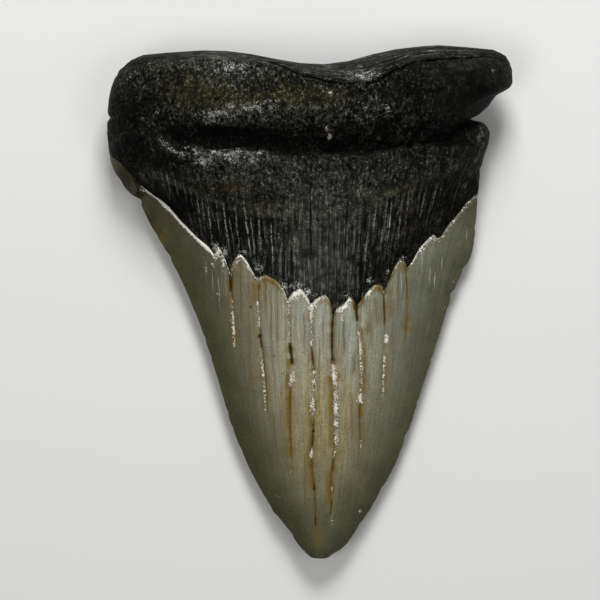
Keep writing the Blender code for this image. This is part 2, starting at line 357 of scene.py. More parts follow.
@dataclass(frozen=True)
class Outline:
    """The tooth's outline from above: both sides as (y, x), and the top of the root as (x, y).

    The notch is (height, depth), and a nick in the edge is (side -1 or 1, height, half length, depth).
    """

    left: Points = (
        (-64, 2.9), (-63.3, 0.4), (-61.7, -1.4), (-56.7, -5.1), (-49.2, -10.6), (-39.2, -15.9),
        (-29.2, -19.9), (-19.2, -22.9), (-9.2, -26.1), (0.8, -29.9), (10.8, -34.6), (20.8, -40.4),
        (25.7, -42.8), (28.2, -45.6), (33.8, -49.1), (39.8, -50.4), (43.2, -50.6), (51.8, -49.9),
        (57.8, -47.6), (59.2, -46.1),
    )
    right: Points = (
        (-64, 2.9), (-63.5, 4.4), (-62.5, 5.6), (-61.2, 7.9), (-56.7, 11.6), (-49.2, 16.4), (-39.2, 21.9),
        (-29.2, 25.6), (-19.2, 28.9), (-4.2, 33.6), (2.5, 35.9), (8.2, 38.6), (13.2, 40.9), (17.8, 41.6),
        (26.2, 42.1), (33.8, 42.9), (39.8, 44.6), (44.2, 45.4), (50.2, 48.2), (53, 50), (55.2, 50.6),
        (57.8, 50.5), (59.8, 49.9),
    )
    top: Points = (
        (-46.1, 59.2), (-44.4, 60.5), (-41.4, 61.7), (-35.4, 62.2), (-26.4, 62.7), (-20.4, 62.5),
        (-14.4, 61.7), (-8.4, 60.5), (-2.4, 59.5), (3.6, 59.2), (9.6, 60), (15.6, 61.7), (21.6, 63),
        (27.6, 63.7), (32.1, 64), (39.6, 63.5), (45.6, 63), (47.6, 62.2), (48.9, 61.5), (49.9, 59.8),
    )
    notch: Points = (
        (42.8, 0), (44.2, 1), (45.3, 2.6), (46, 5.7), (47.2, 4.2), (50.2, 2.8), (51.8, 2.7), (53, 1.4),
        (53.8, 0.4), (55, 0),
    )
    notch_start: float = 0.8
    notch_middle: float = 46.0
    nicks: Table = (
        (-1, 46.2, 0.7, 0.6), (-1, 31, 0.9, 0.25), (-1, 25.9, 0.6, 0.9), (-1, 12, 0.8, 0.3),
        (-1, -8.5, 0.7, 0.35), (-1, -13, 0.5, 0.3), (-1, -27, 0.8, 0.3), (-1, -51.9, 0.7, -0.4),
        (-1, -57.5, 0.6, 0.25), (1, 33.5, 0.7, 0.3), (1, 19.2, 0.6, 0.3), (1, 8.7, 0.9, 0.5),
        (1, 2.5, 0.8, 0.45), (1, -14, 0.6, 0.25), (1, -24.5, 0.5, 0.3), (1, -33, 0.9, 0.35),
        (1, -46, 0.6, 0.25), (1, -55, 0.7, 0.3),
    )
    wear: Texture = Texture(Pattern.EDGE_WEAR, 0.12, 2.2)
    wear_rows: Pair = (8.5, 3.5)
    rim: Pair = (0.93, 1.0)

    def sides(self, y: Array) -> tuple[Array, Array]:
        """X of the left and the right side at each y."""
        return smooth_curve(self.left, y), smooth_curve(self.right, y)

    def share(self, x: Array, y: Array) -> Array:
        """How far x lies from the left side to the right one, from 0 to 1."""
        left, right = self.sides(y)
        return (x - left) / (right - left)

    def drawn_in(self, y: Array, side: Array, above_groove: Array) -> Array:
        """How far the edge is drawn in along x by the notch, the nicks and wear.

        Args:
            y: heights of the rows at each column.
            side: place across the tooth, from -1 to 1.
            above_groove: height above the groove's line at each place.

        Returns:
            The shift of x towards the middle on the left and right edges, with its sign.
        """
        notch = smooth_curve(self.notch, above_groove + self.notch_middle)
        shift = -notch * ease(side, 2 * self.notch_start - 1, 1.0)
        edge = ease(np.abs(side), *self.rim)
        for hand, height, length, depth in self.nicks:
            here = np.where(side * hand > 0, edge, 0)
            shift -= hand * depth * bell((y - height) / length) * here
        left_row, right_row = self.wear_rows
        worn = self.wear.at(y, np.where(side > 0, right_row, left_row))
        return shift + np.sign(side) * worn * edge


@dataclass(frozen=True)
class FaceLines:
    """Lines across the lingual face, as (x, y) points, and the width of the enamel's wall."""

    border: Points = (
        (-49.4, 36.3), (-47.1, 35), (-44.9, 32.5), (-42.9, 30.2), (-41.9, 28.7), (-40.9, 28.5),
        (-37.4, 25.7), (-34.9, 23.5), (-31.4, 19.5), (-27.9, 16), (-25.1, 13.7), (-23.6, 11.5),
        (-22.4, 13.5), (-20.9, 10.7), (-19.6, 6.7), (-18.9, 9.5), (-17.1, 12), (-15.6, 10.2), (-14.6, 8.5),
        (-13.1, 6), (-10.6, 6.5), (-7.9, 5), (-6.4, 3.2), (-5.4, 0.3), (-4.1, 2.2), (-2.1, 3.2),
        (-0.9, 1.7), (0.4, -0.7), (2.1, 1), (3.9, 1.7), (4.9, 0.5), (5.9, -3), (6.9, -1.5), (8.4, -1),
        (9.9, 1.2), (10.6, 0.5), (11.6, -1.2), (12.9, 0.5), (14.4, 2.5), (16.1, 4.2), (17.6, 4),
        (18.6, 2.7), (19.6, 5), (21.1, 8.5), (22.1, 10.2), (23.4, 9.7), (24.1, 8.5), (25.4, 10),
        (26.9, 12.7), (28.9, 15), (30.9, 16.7), (31.9, 15.7), (32.9, 16.2), (34.4, 18.7), (36.9, 21.5),
        (39.4, 24.7), (41.6, 26.7),
    )
    lip: Points = (
        (-50.6, 43.6), (-40, 42), (-37.2, 41.2), (-33, 38), (-30.6, 36.6), (-28.8, 37.2), (-26.4, 38.6),
        (-24, 36.9), (-21.4, 37.2), (-18.4, 38.3), (-16, 37.6), (-14.4, 36.9), (-11, 36.5), (-6, 36.3),
        (-2, 36), (2.6, 36.2), (6.4, 35.4), (10, 35.8), (13.9, 35.4), (17.1, 36.7), (22, 37.6), (30, 38.2),
        (35, 37.8), (38.4, 38.8), (42.6, 42.6), (45.4, 44.6),
    )
    groove: Points = (
        (-50.6, 44.9), (-40, 43.4), (-36, 42), (-31, 39.9), (-15, 39.3), (-2.4, 38.2), (6.4, 37.4),
        (15, 37.4), (20, 38.8), (32, 39.8), (37, 40.6), (42, 43.6), (46.2, 46),
    )
    crest: Points = (
        (-50.6, 49.5), (-30, 48.5), (0, 47.5), (25, 49), (40, 51.5), (50.6, 54.2),
    )
    ridge_drop: Points = (
        (-50, 4.5), (-30, 3.8), (-14, 2.6), (-8, 2.4), (3.6, 4.6), (9.6, 6), (15, 7.2), (20.6, 6.2),
        (25, 4.4), (40, 3.4), (50, 2),
    )
    wall: float = 0.55


@dataclass(frozen=True)
class Heights:
    """Heights along the tooth as (y, z), and what stands up or lies low on them.

    The groove is (x, depth), and a lump or dent is an oval (x, y, half width, half height, rise).
    """

    edge: Points = (
        (-64, 5.5), (-40, 4), (18, 4), (40, 7.5), (50, 10), (64, 10.5),
    )
    lingual: Points = (
        (-64, 5.5), (-61, 7.2), (-50, 10.8), (-40, 13.2), (-20, 17.2), (0, 20.3), (20, 22.6), (34, 24.8),
        (42, 27.4), (48.5, 29), (54, 28.6), (60, 27),
    )
    labial: Points = (
        (-64, 5.5), (-61, 3.6), (-45, 1), (-28, -0.25), (-8, 0.6), (10, 1.8), (30, 2.4), (64, 2.8),
    )
    top: float = 16.0
    lobes: Points = ((-31.0, 46.5), (27.5, 47.5))
    lobe_radius: float = 9.0
    lobe_bulge: float = 3.3
    groove: Points = (
        (-39, 0), (-35, 1.4), (-29, 3.2), (-20, 4.2), (0, 3.8), (30, 3.8), (40, 2.8), (47, 1),
    )
    enamel_lingual: float = 0.55
    enamel_labial: float = 0.3
    labial_arch: float = 6.0
    root_turn: Pair = (15.0, 46.0)
    lumps: Table = (
        (-44, 50, 4.5, 4.5, 0.5), (-37, 43, 4, 4, -0.4), (-33, 56, 5, 5, -0.4), (-24, 50.5, 5, 5, 0.5),
        (-26, 38.2, 2.2, 2.2, 0.8), (-18, 38.2, 2.4, 2.4, 0.7), (-12, 55, 4.5, 4.5, -0.4),
        (-6, 48.5, 4, 4, 0.4), (5, 41.5, 2.4, 2.4, 0.9), (9, 46.5, 3.5, 3.5, -0.5),
        (13, 54.5, 3.5, 3.5, 0.5), (19.5, 48, 3, 3, 0.5), (26, 55, 5, 5, -0.4), (33, 50, 4.5, 4.5, 0.4),
        (40, 56.5, 4.5, 4.5, 0.4), (-30, 30, 6, 6, -0.3), (12, 27, 7, 7, 0.3), (36, 33, 4.5, 4.5, 0.4),
    )

    def fullness(self, side: Array, y: Array, crown_power: float, root_power: float) -> Array:
        """Cross-section, 1 in the middle and 0 at the sides: (1 - side^reach)^power.

        Reach and power change from the crown, a lens with sharp edges, to the root, which is round.

        Args:
            side: place across the tooth, from -1 to 1.
            y: y of the points.
            crown_power: power on the crown.
            root_power: power on the root.

        Returns:
            The share of the middle's rise at each point.
        """
        root = ease(y, *self.root_turn)
        power = crown_power + (root_power - crown_power) * root
        return np.clip(1 - np.abs(side) ** (2.0 + 0.8 * root), 0, 1) ** power


C, R, P = Mark

# Cracks that part the enamel's plates, left to right
PLATE_CRACKS = (
    Crack((
        (-19.6, 6.7), (-19.5, 3.2), (-19.1, -4), (-18.6, -13),
    ), (
        (P, 9, 2.5, 1, 0.3, -0.2), (P, 2.5, 0.5, 0.5, 0.2, 0), (C, 1.5, -1.8, 0.6, 0.36, 0),
        (C, -1.8, -8.3, 0.95, 0.43, 0), (C, -8.3, -12.5, 0.5, 0.36, 0), (R, 6, -8, 0.4, 0.7, -0.4),
    ), 0.45),
    Crack((
        (-13.1, 6), (-12.9, 0.8), (-12.6, -4.2), (-12.4, -8), (-11.9, -11.8), (-11.4, -16.8),
        (-10.9, -21.8), (-10.6, -26.8),
    ), (
        (R, 6, 0, 0.7, 0.9, -0.5), (P, 6, 1, 0.5, 0.2, 0.2), (C, 0.3, -6.8, 0.8, 0.51, 0),
        (P, -8, -11.4, 0.9, 0.3, 0), (P, -11.4, -27, 0.75, 0.17, 0.1), (C, -11, -27, 0.6, 0.29, -0.3),
        (R, -9, -20, 0.5, 0.6, 0.5),
    ), 0.45),
    Crack((
        (-5.4, 0.3), (-5.1, -4.2), (-4.9, -10.5), (-4.4, -14.2), (-4.6, -18.8), (-4.9, -21.2),
        (-5.1, -29.2), (-4.9, -34.2), (-4.6, -43),
    ), (
        (C, 1, -9.3, 0.62, 0.51, 0), (P, 1, -9.5, 0.5, 0.2, 0.25), (P, -9.8, -15.2, 1, 0.42, 0),
        (C, -15.4, -20.8, 0.9, 0.58, 0.2), (R, -13.5, -22, 0.7, 0.8, -0.6), (R, -19, -38.5, 1, 0.6, 0),
        (R, -20, -38, 0.5, 1.3, -0.2), (P, -21, -40, 0.42, 0.18, 0), (P, -40, -43, 0.4, 0.15, 0),
    ), 0.45),
    Crack((
        (0.4, -0.7), (0.4, -11), (0.9, -15.5), (1.1, -19.2), (0.6, -28), (0.9, -31.8), (0.6, -35.5),
        (0.4, -38), (0.6, -42.2), (1.1, -46.2), (1.4, -53), (1.6, -56.8),
    ), (
        (C, 0.5, -10.8, 0.85, 0.55, 0), (P, -10.6, -15.8, 0.8, 0.3, 0), (C, -16.5, -28.2, 0.72, 0.72, 0),
        (P, -16, -36, 0.45, 0.18, 0.3), (R, -24, -36, 0.8, 0.6, -0.5), (P, -30, -35.8, 0.8, 0.25, 0),
        (C, -36.5, -38.8, 0.8, 0.51, 0), (R, -33, -46, 0.9, 0.8, -0.3), (P, -38.5, -56, 0.6, 0.18, 0),
        (P, -53, -55.8, 0.9, 0.3, 0), (R, -50, -57, 0.5, 0.7, 0),
    ), 0.5),
    Crack((
        (5.9, -3), (5.6, -6.8), (5.6, -11.8), (5.9, -16.8), (6.4, -21.8), (6.6, -35.5), (6.1, -38.8),
        (5.9, -40.5), (5.6, -44.2), (5.6, -49.2), (5.1, -53),
    ), (
        (P, 0, -14.5, 1, 0.34, 0), (R, -3, -15, 0.6, 0.5, 0.6), (C, -15.2, -35.6, 1, 0.7, 0.1),
        (R, -18, -36, 0.9, 0.8, -1), (P, -15, -36, 0.6, 0.16, -0.45), (C, -35.4, -38.8, 0.7, 0.36, 0),
        (P, -36.8, -42, 0.7, 0.28, 0), (R, -42, -50.2, 1, 0.8, -0.5), (C, -45.4, -47.6, 0.6, 0.29, 0),
        (P, -49, -53.2, 0.8, 0.25, 0), (C, -52, -55.5, 0.45, 0.36, 0.5),
    ), 0.6, 0.32),
    Crack((
        (11.6, -1.2), (11.9, -3.8), (12.1, -6.8), (12.6, -10.5), (12.9, -19.2), (12.6, -23), (12.6, -26.8),
        (12.9, -38),
    ), (
        (P, 0.5, -4.6, 1, 0.38, 0), (P, -4.6, -14, 0.5, 0.2, -0.3), (C, -5.2, -14.2, 0.8, 0.43, 0),
        (C, -14.5, -22.8, 0.62, 0.51, 0), (R, -6, -23, 0.7, 0.6, 0.7), (C, -22.4, -25, 1, 0.8, 0),
        (R, -24.4, -28.8, 1, 0.6, 0), (P, -26.5, -34.5, 0.6, 0.18, 0), (C, -34, -38, 0.5, 0.32, 0),
    ), 0.5),
    Crack((
        (18.6, 2.7), (18.7, -3), (18.9, -8.5), (18.6, -14), (18.1, -25.5),
    ), (
        (P, 4, -5.8, 0.85, 0.26, 0), (C, -7.4, -10.2, 1, 0.61, 0.2), (C, -12.5, -24.5, 0.66, 0.38, 0),
        (R, 4, -3.5, 0.5, 0.7, 1.2), (R, -5, -8, 0.5, 0.4, 0), (P, -10, -13, 0.4, 0.2, 0),
    ), 0.4),
    Crack((
        (24.1, 8.5), (24.4, 3), (24.4, -5), (23.6, -11.7),
    ), (
        (P, 9, 1, 0.55, 0.22, 0), (R, 8, -9, 0.75, 0.45, 0), (P, -5, -11.7, 0.35, 0.18, 0),
    ), 0.35),
)

# Hairlines inside the plates as (x above, y above, x below, y below, darkness)
HAIRLINES = (
    (-22.8, 11.5, -22.6, 0.8, 0.5), (-17.1, 11.5, -17, -5.5, 0.8), (-10.9, 5.8, -10.8, -1.8, 0.8),
    (-9.5, 4.8, -9.5, -9.2, 0.8), (-8.1, 5, -7.9, -10.5, 0.8), (-8.9, -26.8, -8.5, -36.8, 0.6),
    (-1.5, -2, -1.3, -14, 0.5), (-1.2, -36.8, -1.2, -51.8, 0.7), (3.2, -4, 3.3, -13, 0.5),
    (8.4, -4, 8.6, -13.5, 1), (10.4, -21.8, 10.6, -35.5, 0.7), (15.2, -1, 15.4, -12, 0.5),
    (16.4, 2, 16.6, -6.8, 0.9), (21.9, 9, 22, -3, 0.6), (-15.2, 6, -14.8, -24, 0.4),
    (20.9, 2, 20.6, -20, 0.4),
)

# Pale scratches under the border, in the same way
SCRATCHES = (
    (-25.9, 10.6, -25.8, 6.8, 0.9), (-24.2, 8.4, -24, 2.4, 0.6), (-22.7, 7, -22.4, -0.8, 0.8),
    (-20.9, 8.6, -20.8, 1.8, 0.5), (22.6, 8.2, 22.7, 1.6, 0.6), (28, 13.2, 28.1, 7.6, 0.7),
    (30, 9.4, 30, 4.8, 0.8), (31.2, 8.4, 31.2, 3.2, 1), (33, 12, 33.1, 7.8, 0.7),
    (39.4, 19.4, 39.5, 15.6, 0.6),
)

# Blots of each mark on the enamel, as soft oval spots
CROWN_BLOTS = {
    C: (
        (-23.1, 14.1, 0.9, 1.1, 1), (-21.4, 11, 0.5, 2.4, 0.9), (-24, 9.8, 0.3, 1.2, 0.8),
        (-25.9, 8.6, 0.35, 0.9, 0.6), (-22.9, 2.6, 0.3, 0.9, 0.6), (-16.6, 11.8, 0.5, 0.6, 1),
        (-14.8, 9.2, 1, 1.4, 0.95), (-12.4, 7.6, 0.7, 1, 0.8), (-3.7, 1.8, 2.2, 1.3, 0.8),
        (-5.2, -0.5, 0.5, 1.4, 0.8), (0.5, -0.6, 1.3, 1.6, 0.9), (8.6, -1.2, 1.5, 0.7, 1),
        (7.9, -3.5, 0.3, 1.8, 0.7), (14.8, 2.6, 0.6, 1, 1), (18.8, 5.2, 0.25, 1, 0.7),
        (27.6, 13.2, 1.2, 0.5, 0.8), (-4, -19, 0.8, 0.6, 0.8), (-4.6, -42, 0.3, 0.4, 0.9),
        (12.8, -14.5, 0.5, 0.4, 0.6), (12.5, -23.5, 0.8, 0.5, 0.8), (-42, 26.5, 0.4, 0.6, 0.5),
        (12.6, -52.2, 0.4, 0.4, 1), (11.4, -55, 0.3, 0.3, 0.9), (36.1, 5.5, 0.5, 0.4, 0.6),
        (34, -0.6, 0.3, 0.9, 0.5), (26, -18, 0.9, 0.3, 0.4), (-7.6, -48.4, 1, 0.3, 0.5),
    ),
    R: (
        (-37, 17.6, 1.5, 3.2, 0.75), (-41, 23, 0.8, 2, 0.5), (-13.6, -18.2, 1.1, 1, 0.8),
        (-12.2, 3.6, 1.8, 1.4, 0.9), (-7.9, 3.8, 0.7, 0.9, 0.7), (-18, 6, 0.6, 2.5, 0.6),
        (7.5, -18, 0.6, 5.5, 0.7), (14.1, -6, 1.3, 1.6, 0.8), (13.6, -10.5, 0.6, 1, 0.6),
        (24.9, -6, 2, 1.1, 0.85), (11.4, -13.5, 0.5, 0.8, 0.7), (11, -16.5, 0.8, 1, 0.6),
        (24.9, -27.2, 0.5, 0.6, 0.9), (2.9, -58.6, 1.3, 2, 0.8), (30.6, 8, 0.4, 2, 0.4),
        (28, -29, 0.9, 0.9, 0.3), (17, -22, 1.6, 4, 0.25), (1.5, 0.2, 1.6, 0.8, 0.5),
    ),
    P: (
        (-46, 31.5, 3.2, 5, 0.78), (-39.6, 20.5, 2.2, 6, 0.52), (-12.3, -8.2, 0.8, 0.9, 0.9),
        (-14.6, -1, 0.35, 0.5, 0.9), (-8.6, -13.2, 0.4, 0.5, 0.9), (-13.4, 6.3, 2, 0.4, 0.8),
        (0.9, -31.8, 0.5, 0.6, 1), (1.1, -46.2, 0.45, 0.5, 1), (-0.1, -49, 0.3, 0.4, 0.8),
        (12.6, -44.2, 0.25, 0.3, 0.9), (31.1, 0.8, 0.5, 1, 0.5), (11.4, -14.8, 0.4, 0.5, 0.7),
        (3.6, -22.5, 0.25, 0.3, 0.6), (-2.6, -24, 0.2, 0.2, 0.6), (15.6, -16, 0.2, 0.3, 0.6),
        (-20.5, -16, 0.25, 0.3, 0.5), (8.4, -28, 0.2, 0.3, 0.6),
    ),
}

# Blots of each mark on the root
ROOT_BLOTS = {
    C: (
        (-23, 13.6, 1.6, 1.3, 0.6), (-21, 12.2, 0.8, 1.4, 0.6), (-16.4, 12.8, 1.2, 0.6, 0.65),
        (-12.4, 8.6, 1, 0.9, 0.7), (-6.6, 4.4, 1.1, 0.9, 0.7), (-3.2, 4.2, 1.8, 0.7, 0.75),
        (-0.6, 2.8, 0.9, 0.9, 0.75), (1.6, 2.2, 0.7, 0.5, 0.6), (9.2, 2.2, 0.8, 0.5, 0.5),
        (15, 5.4, 0.8, 0.7, 0.7), (19.4, 8, 0.3, 1.2, 0.6), (23.2, 11.2, 0.6, 0.5, 0.5),
        (-25.8, 35.2, 2.2, 1.5, 0.7), (-28, 37.8, 1, 0.8, 0.5), (-23.4, 37.2, 1.6, 0.6, 0.5),
        (-18.8, 36, 3, 1.6, 0.68), (-15.2, 36.8, 1.6, 0.7, 0.55), (-20.6, 38, 1.6, 0.5, 0.5),
        (-12.6, 36.8, 1.4, 0.5, 0.5), (-30.4, 38.4, 0.8, 0.5, 0.5), (-22, 46.4, 5, 1.4, 0.5),
        (-24, 44.6, 2.5, 0.7, 0.5), (-20, 58, 5, 1.6, 0.42), (4.9, 41.2, 0.5, 0.7, 1),
        (4.1, 42.8, 0.4, 0.7, 0.6), (19.2, 47.6, 0.5, 1.6, 0.75), (14.2, 47.6, 0.9, 0.5, 0.5),
        (5.2, 51.7, 1, 0.4, 0.6), (13.9, 55.8, 3.2, 1.4, 0.5), (45.1, 57.5, 0.3, 0.35, 0.9),
        (-10, 49.5, 6, 0.5, 0.3), (-3, 36.2, 1.3, 0.3, 0.5), (-14, 47.8, 9, 0.8, 0.35),
    ),
    R: (
        (3.6, 41.6, 1, 1.2, 0.8), (5, 50, 4, 2, 0.12), (-22, 48, 3, 1.2, 0.3), (26, 21, 1.2, 2, 0.4),
        (15, 21, 0.5, 1.2, 0.4), (-18, 29, 2.4, 1, 0.35), (-11.5, 24, 0.6, 2, 0.5),
    ),
    P: (
        (9.4, 45.8, 0.8, 0.8, 1), (11.5, 39.8, 1.4, 1.3, 0.8), (3.4, 40.4, 1.4, 0.8, 0.8),
        (-24, 41, 7, 1.6, 0.6), (16.8, 54.6, 3, 0.4, 0.7), (2.6, 43, 0.5, 0.5, 0.8),
        (10.6, 51.2, 0.4, 0.3, 0.7),
    ),
}

# Width of the bundle of grain lines as (y, width), over its width at the border
GRAIN_WIDTH = ((-64, 0.2), (-40, 0.6), (0, 1), (30, 1.3), (64, 1.5))

# How much white rim the enamel's edge shows, as (x, strength)
RIM = (
    (-50, 0), (-42.2, 0), (-41.2, 1.4), (-24.5, 1.4), (-23.6, 0.5), (-22.4, 0.95), (-20.2, 0.8),
    (-19.2, 0.3), (-17.6, 0.7), (-16, 0.9), (-13.6, 0.8), (-12.4, 0.4), (-9.5, 0.1), (-7, 0.35), (-5.4, 1),
    (-2, 0.95), (-0.6, 1), (1.6, 0.9), (2.6, 0.5), (4.3, 0.4), (5.4, 0), (6.6, 0.4), (7.8, 1), (9.8, 0.8),
    (11, 0.1), (13.4, 0.2), (14.4, 0.9), (15.8, 0.5), (17.6, 0.1), (18.9, 0.5), (20.3, 0.1), (21.6, 0.6),
    (22.8, 0.3), (24, 0.1), (25.2, 0.7), (27, 0.75), (29.2, 0.7), (31, 0.5), (32.6, 0.45), (36, 0.5),
    (42, 0.5),
)

# Soft tones of the enamel and of the root, as soft oval spots
WARM_SPOTS = ((2, -33, 13, 20, 1), (-15, -6, 6, 14, 0.5))
PALE_SPOTS = ((2, -7, 17, 12, 1), (35, 8, 9, 16, 0.8))
OLIVE_SPOTS = (
    (-30, 52, 8.5, 4.2, 1), (-17, 50.5, 7, 3.2, 0.75), (-5, 51, 6.5, 3.4, 0.9), (7, 50.5, 4, 2.5, 0.5),
    (-24, 28.5, 10, 1.5, 0.7), (-10, 24, 6, 1.5, 0.6), (14, 26.5, 6, 1.4, 0.5), (24, 28, 5, 1.6, 0.5),
)
# Wear, and painted highlights on the bulge's crest and on the groove's ledge
WEAR_AND_HIGHLIGHT_SPOTS = (
    (-20, 57, 10, 2.8, 0.75), (-24, 60.8, 10, 1.6, 0.9), (-22, 46, 6.5, 2.4, 1), (-16, 48.2, 9, 1.6, 0.5),
    (-7, 45.6, 7, 2, 0.7), (4, 46.5, 7, 2.2, 0.5), (18, 47.5, 4, 2.4, 0.45), (-22, 36, 9, 2.6, 1),
    (-10, 34.5, 6, 2.6, 0.8), (-15, 31, 12, 3, 0.3), (14, 56, 5.5, 1.9, 1), (4, 57, 9, 1.4, 0.5),
    (30, 61.8, 12, 1.2, 0.5), (2.5, 11.5, 9, 10, 1.5), (-37, 41.5, 4, 1.2, 0.4), (11, 31, 14, 4.5, 0.3),
    (12, 24, 7, 5, 0.6), (0, 27, 9, 5, 0.5), (-30, 30.5, 9, 1.2, 0.45), (-8, 24, 7, 1.6, 0.45),
    (44, 49, 2, 3, 0.2), (42.6, 38, 0.9, 6, 0.7), (-34.5, 39, 3, 1, 0.4),
)
# Darker spots, and painted shade in the groove under the bulge
SHADE_AND_DARK_SPOTS = (
    (-34, 26.5, 8.5, 4.5, 1.15), (-21, 18.5, 10, 6, 0.95), (-26, 42, 8, 1.8, 0.8), (34, 23, 7, 5.5, 0.9),
    (24, 14, 6, 6, 0.7), (41, 33, 6, 8, 0.6), (38, 52, 16, 8, 0.95), (-45, 47, 10, 12, 0.9),
    (22, 53, 7, 5, 0.5), (15, 9, 4, 5, 0.45), (-42, 36, 7, 5, 0.5), (3, 39, 26, 1.5, 0.3),
    (-35, 35, 5, 2.6, 0.6),
)

# Light strands in the dark of the bourrelet, as (x above, y above, x below, y below, lightness)
STRANDS = (
    (-37, 33.6, -36.2, 28.5, 0.7), (-35.6, 33, -34.6, 26.5, 0.9), (-33.8, 32, -32.6, 26.5, 0.8),
    (-31.4, 30.5, -30.6, 25.5, 0.7), (-29.9, 29, -29, 24, 0.5), (-28.2, 28, -27.2, 21.5, 0.7),
    (-26.8, 26.5, -25.8, 19, 0.6), (-25.4, 27, -24.2, 14.5, 0.9), (-23.4, 26, -22.2, 17, 0.6),
    (-21.6, 25.5, -19.8, 13, 1), (-20, 22, -18.9, 15, 0.6), (-18.6, 24.5, -17.4, 14, 0.8),
    (-16.6, 27, -14.6, 11.5, 1), (-14.8, 22, -13.6, 13, 0.6), (-12.8, 24, -12, 12, 0.8),
    (-9.6, 20, -9, 9, 0.7), (-7.3, 14, -7.1, 7.5, 0.4), (-0.4, 12, -0.2, 8, 0.9), (11.2, 17, 10.9, 12, 0.4),
    (14, 16, 13.7, 8, 0.5), (16.1, 22.5, 15.6, 16.5, 0.8), (18, 19, 17.5, 11, 0.5),
    (20.3, 25.5, 19.7, 18, 0.7), (22.6, 22, 21.8, 15, 0.5), (24.6, 26.5, 23.8, 19, 0.6),
    (28.6, 28, 27.5, 21, 0.6), (31.6, 29.5, 30.4, 23.5, 0.5),
)

# Dark splits of the bourrelet, in the same way
SPLITS = (
    (-6.1, 21.5, -6.4, 2.4, 1), (4.9, 23, 4.6, 0.8, 0.9), (12.7, 20, 12.4, 0.8, 0.9),
    (-13.4, 24, -12.9, 9, 0.8), (9.2, 29, 8.9, 5, 0.7), (-4.6, 19, -4.9, 4, 0.7), (20.8, 27, 19.8, 12, 0.8),
    (27, 30, 25.4, 16, 0.7), (-18, 25, -16.4, 12.5, 0.8), (0.1, 30.5, 0.3, 10, 1.2),
    (16.8, 34, 16.4, 21, 0.5), (-9, 33, -8.6, 22, 0.5),
)

# Cracks that run across the root, as (x, y), with their half width and depth
ROOT_CRACKS = (
    (((-25.4, 58.4), (-20.4, 57), (-14.9, 55.2)), 0.3, 0.35),
    (((-12.4, 60.9), (-8.6, 59.2), (-6.6, 58.3), (-2.4, 56.4), (3.1, 54.8), (5.6, 54.5)), 0.32, 0.6),
    (((13.9, 53.6), (16.4, 54.4), (20.6, 56.8), (23.4, 58.3), (26.4, 59.4)), 0.45, 0.5),
    (((28.4, 59.6), (31.4, 60), (35.1, 60.2), (40.1, 60.6), (43.4, 61.4)), 0.26, 0.5),
)


@dataclass(frozen=True)
class ColumnPlan:
    """Columns of the fine grid: they follow the cracks on the crown and spread evenly on the root."""

    outline: Outline
    guides: tuple[Crack, ...] = PLATE_CRACKS
    outer: int = 50
    inner: int = 20
    bunching: float = 0.6
    bunching_end: Pair = (3.0, 30.0)
    rounds: int = 16

    def plates(self) -> tuple[Array, Array]:
        """Plate number of every column, and its place within the plate from 0 to 1.

        Returns:
            The numbers and the places.
        """
        last = len(self.guides)
        counts = [self.outer] + [self.inner] * (last - 1) + [self.outer]
        numbers = np.append(np.repeat(np.arange(last + 1), counts), last)
        places = np.append(np.concatenate([np.arange(count) / count for count in counts]), 1.0)
        return numbers, places

    def guide_share(self, crack: Crack, y: Array) -> Array:
        """Share of the width at which a crack runs, steady above and below it."""
        level = np.clip(y, crack.path[-1][1], crack.path[0][1])
        return self.outline.share(crack.x_at(level), level)

    def share(self, y: Array) -> Array:
        """Share of the width of each column at heights y, rows by columns.

        Between two guides, an outer column's place is (1 - cos(pi p)) / 2, and an inner one's is
        p - bunching sin(2 pi p) / (2 pi), so that the columns gather at the edges and the cracks.

        Args:
            y: heights, rows by columns.

        Returns:
            The shares, from 0 to 1.
        """
        numbers, places = self.plates()
        guides = [np.zeros_like(y)] + [self.guide_share(c, y) for c in self.guides] + [np.ones_like(y)]
        stack = np.stack(guides)
        outer = (numbers == 0) | (numbers == len(self.guides))
        bunching = self.bunching * (1 - ease(y, *self.bunching_end))
        gathered = places - bunching * np.sin(2 * np.pi * places) / (2 * np.pi)
        place = np.where(outer, (1 - np.cos(np.pi * places)) / 2, gathered)
        low, high = (
            np.take_along_axis(stack, np.broadcast_to(number, y.shape)[None], 0)[0]
            for number in (numbers, numbers + 1)
        )
        return low + (high - low) * place

    def x(self, y: Array) -> Array:
        """X of each column at heights y, before the notch is drawn in."""
        left, right = self.outline.sides(y)
        return left + (right - left) * self.share(y)

    def crossing(self, line: Points) -> Array:
        """Y at which each column crosses a line, found by going back and forth between the two.

        Args:
            line: the line as (x, y) points.

        Returns:
            Y at each column.
        """
        points = np.array(line)
        shares = self.outline.share(points[:, 0], points[:, 1])
        count = len(self.plates()[0])
        y = np.interp(np.linspace(0, 1, count), shares, points[:, 1])
        for _ in range(self.rounds):
            y = (y + np.interp(self.share(y[None])[0], shares, points[:, 1])) / 2
        return y


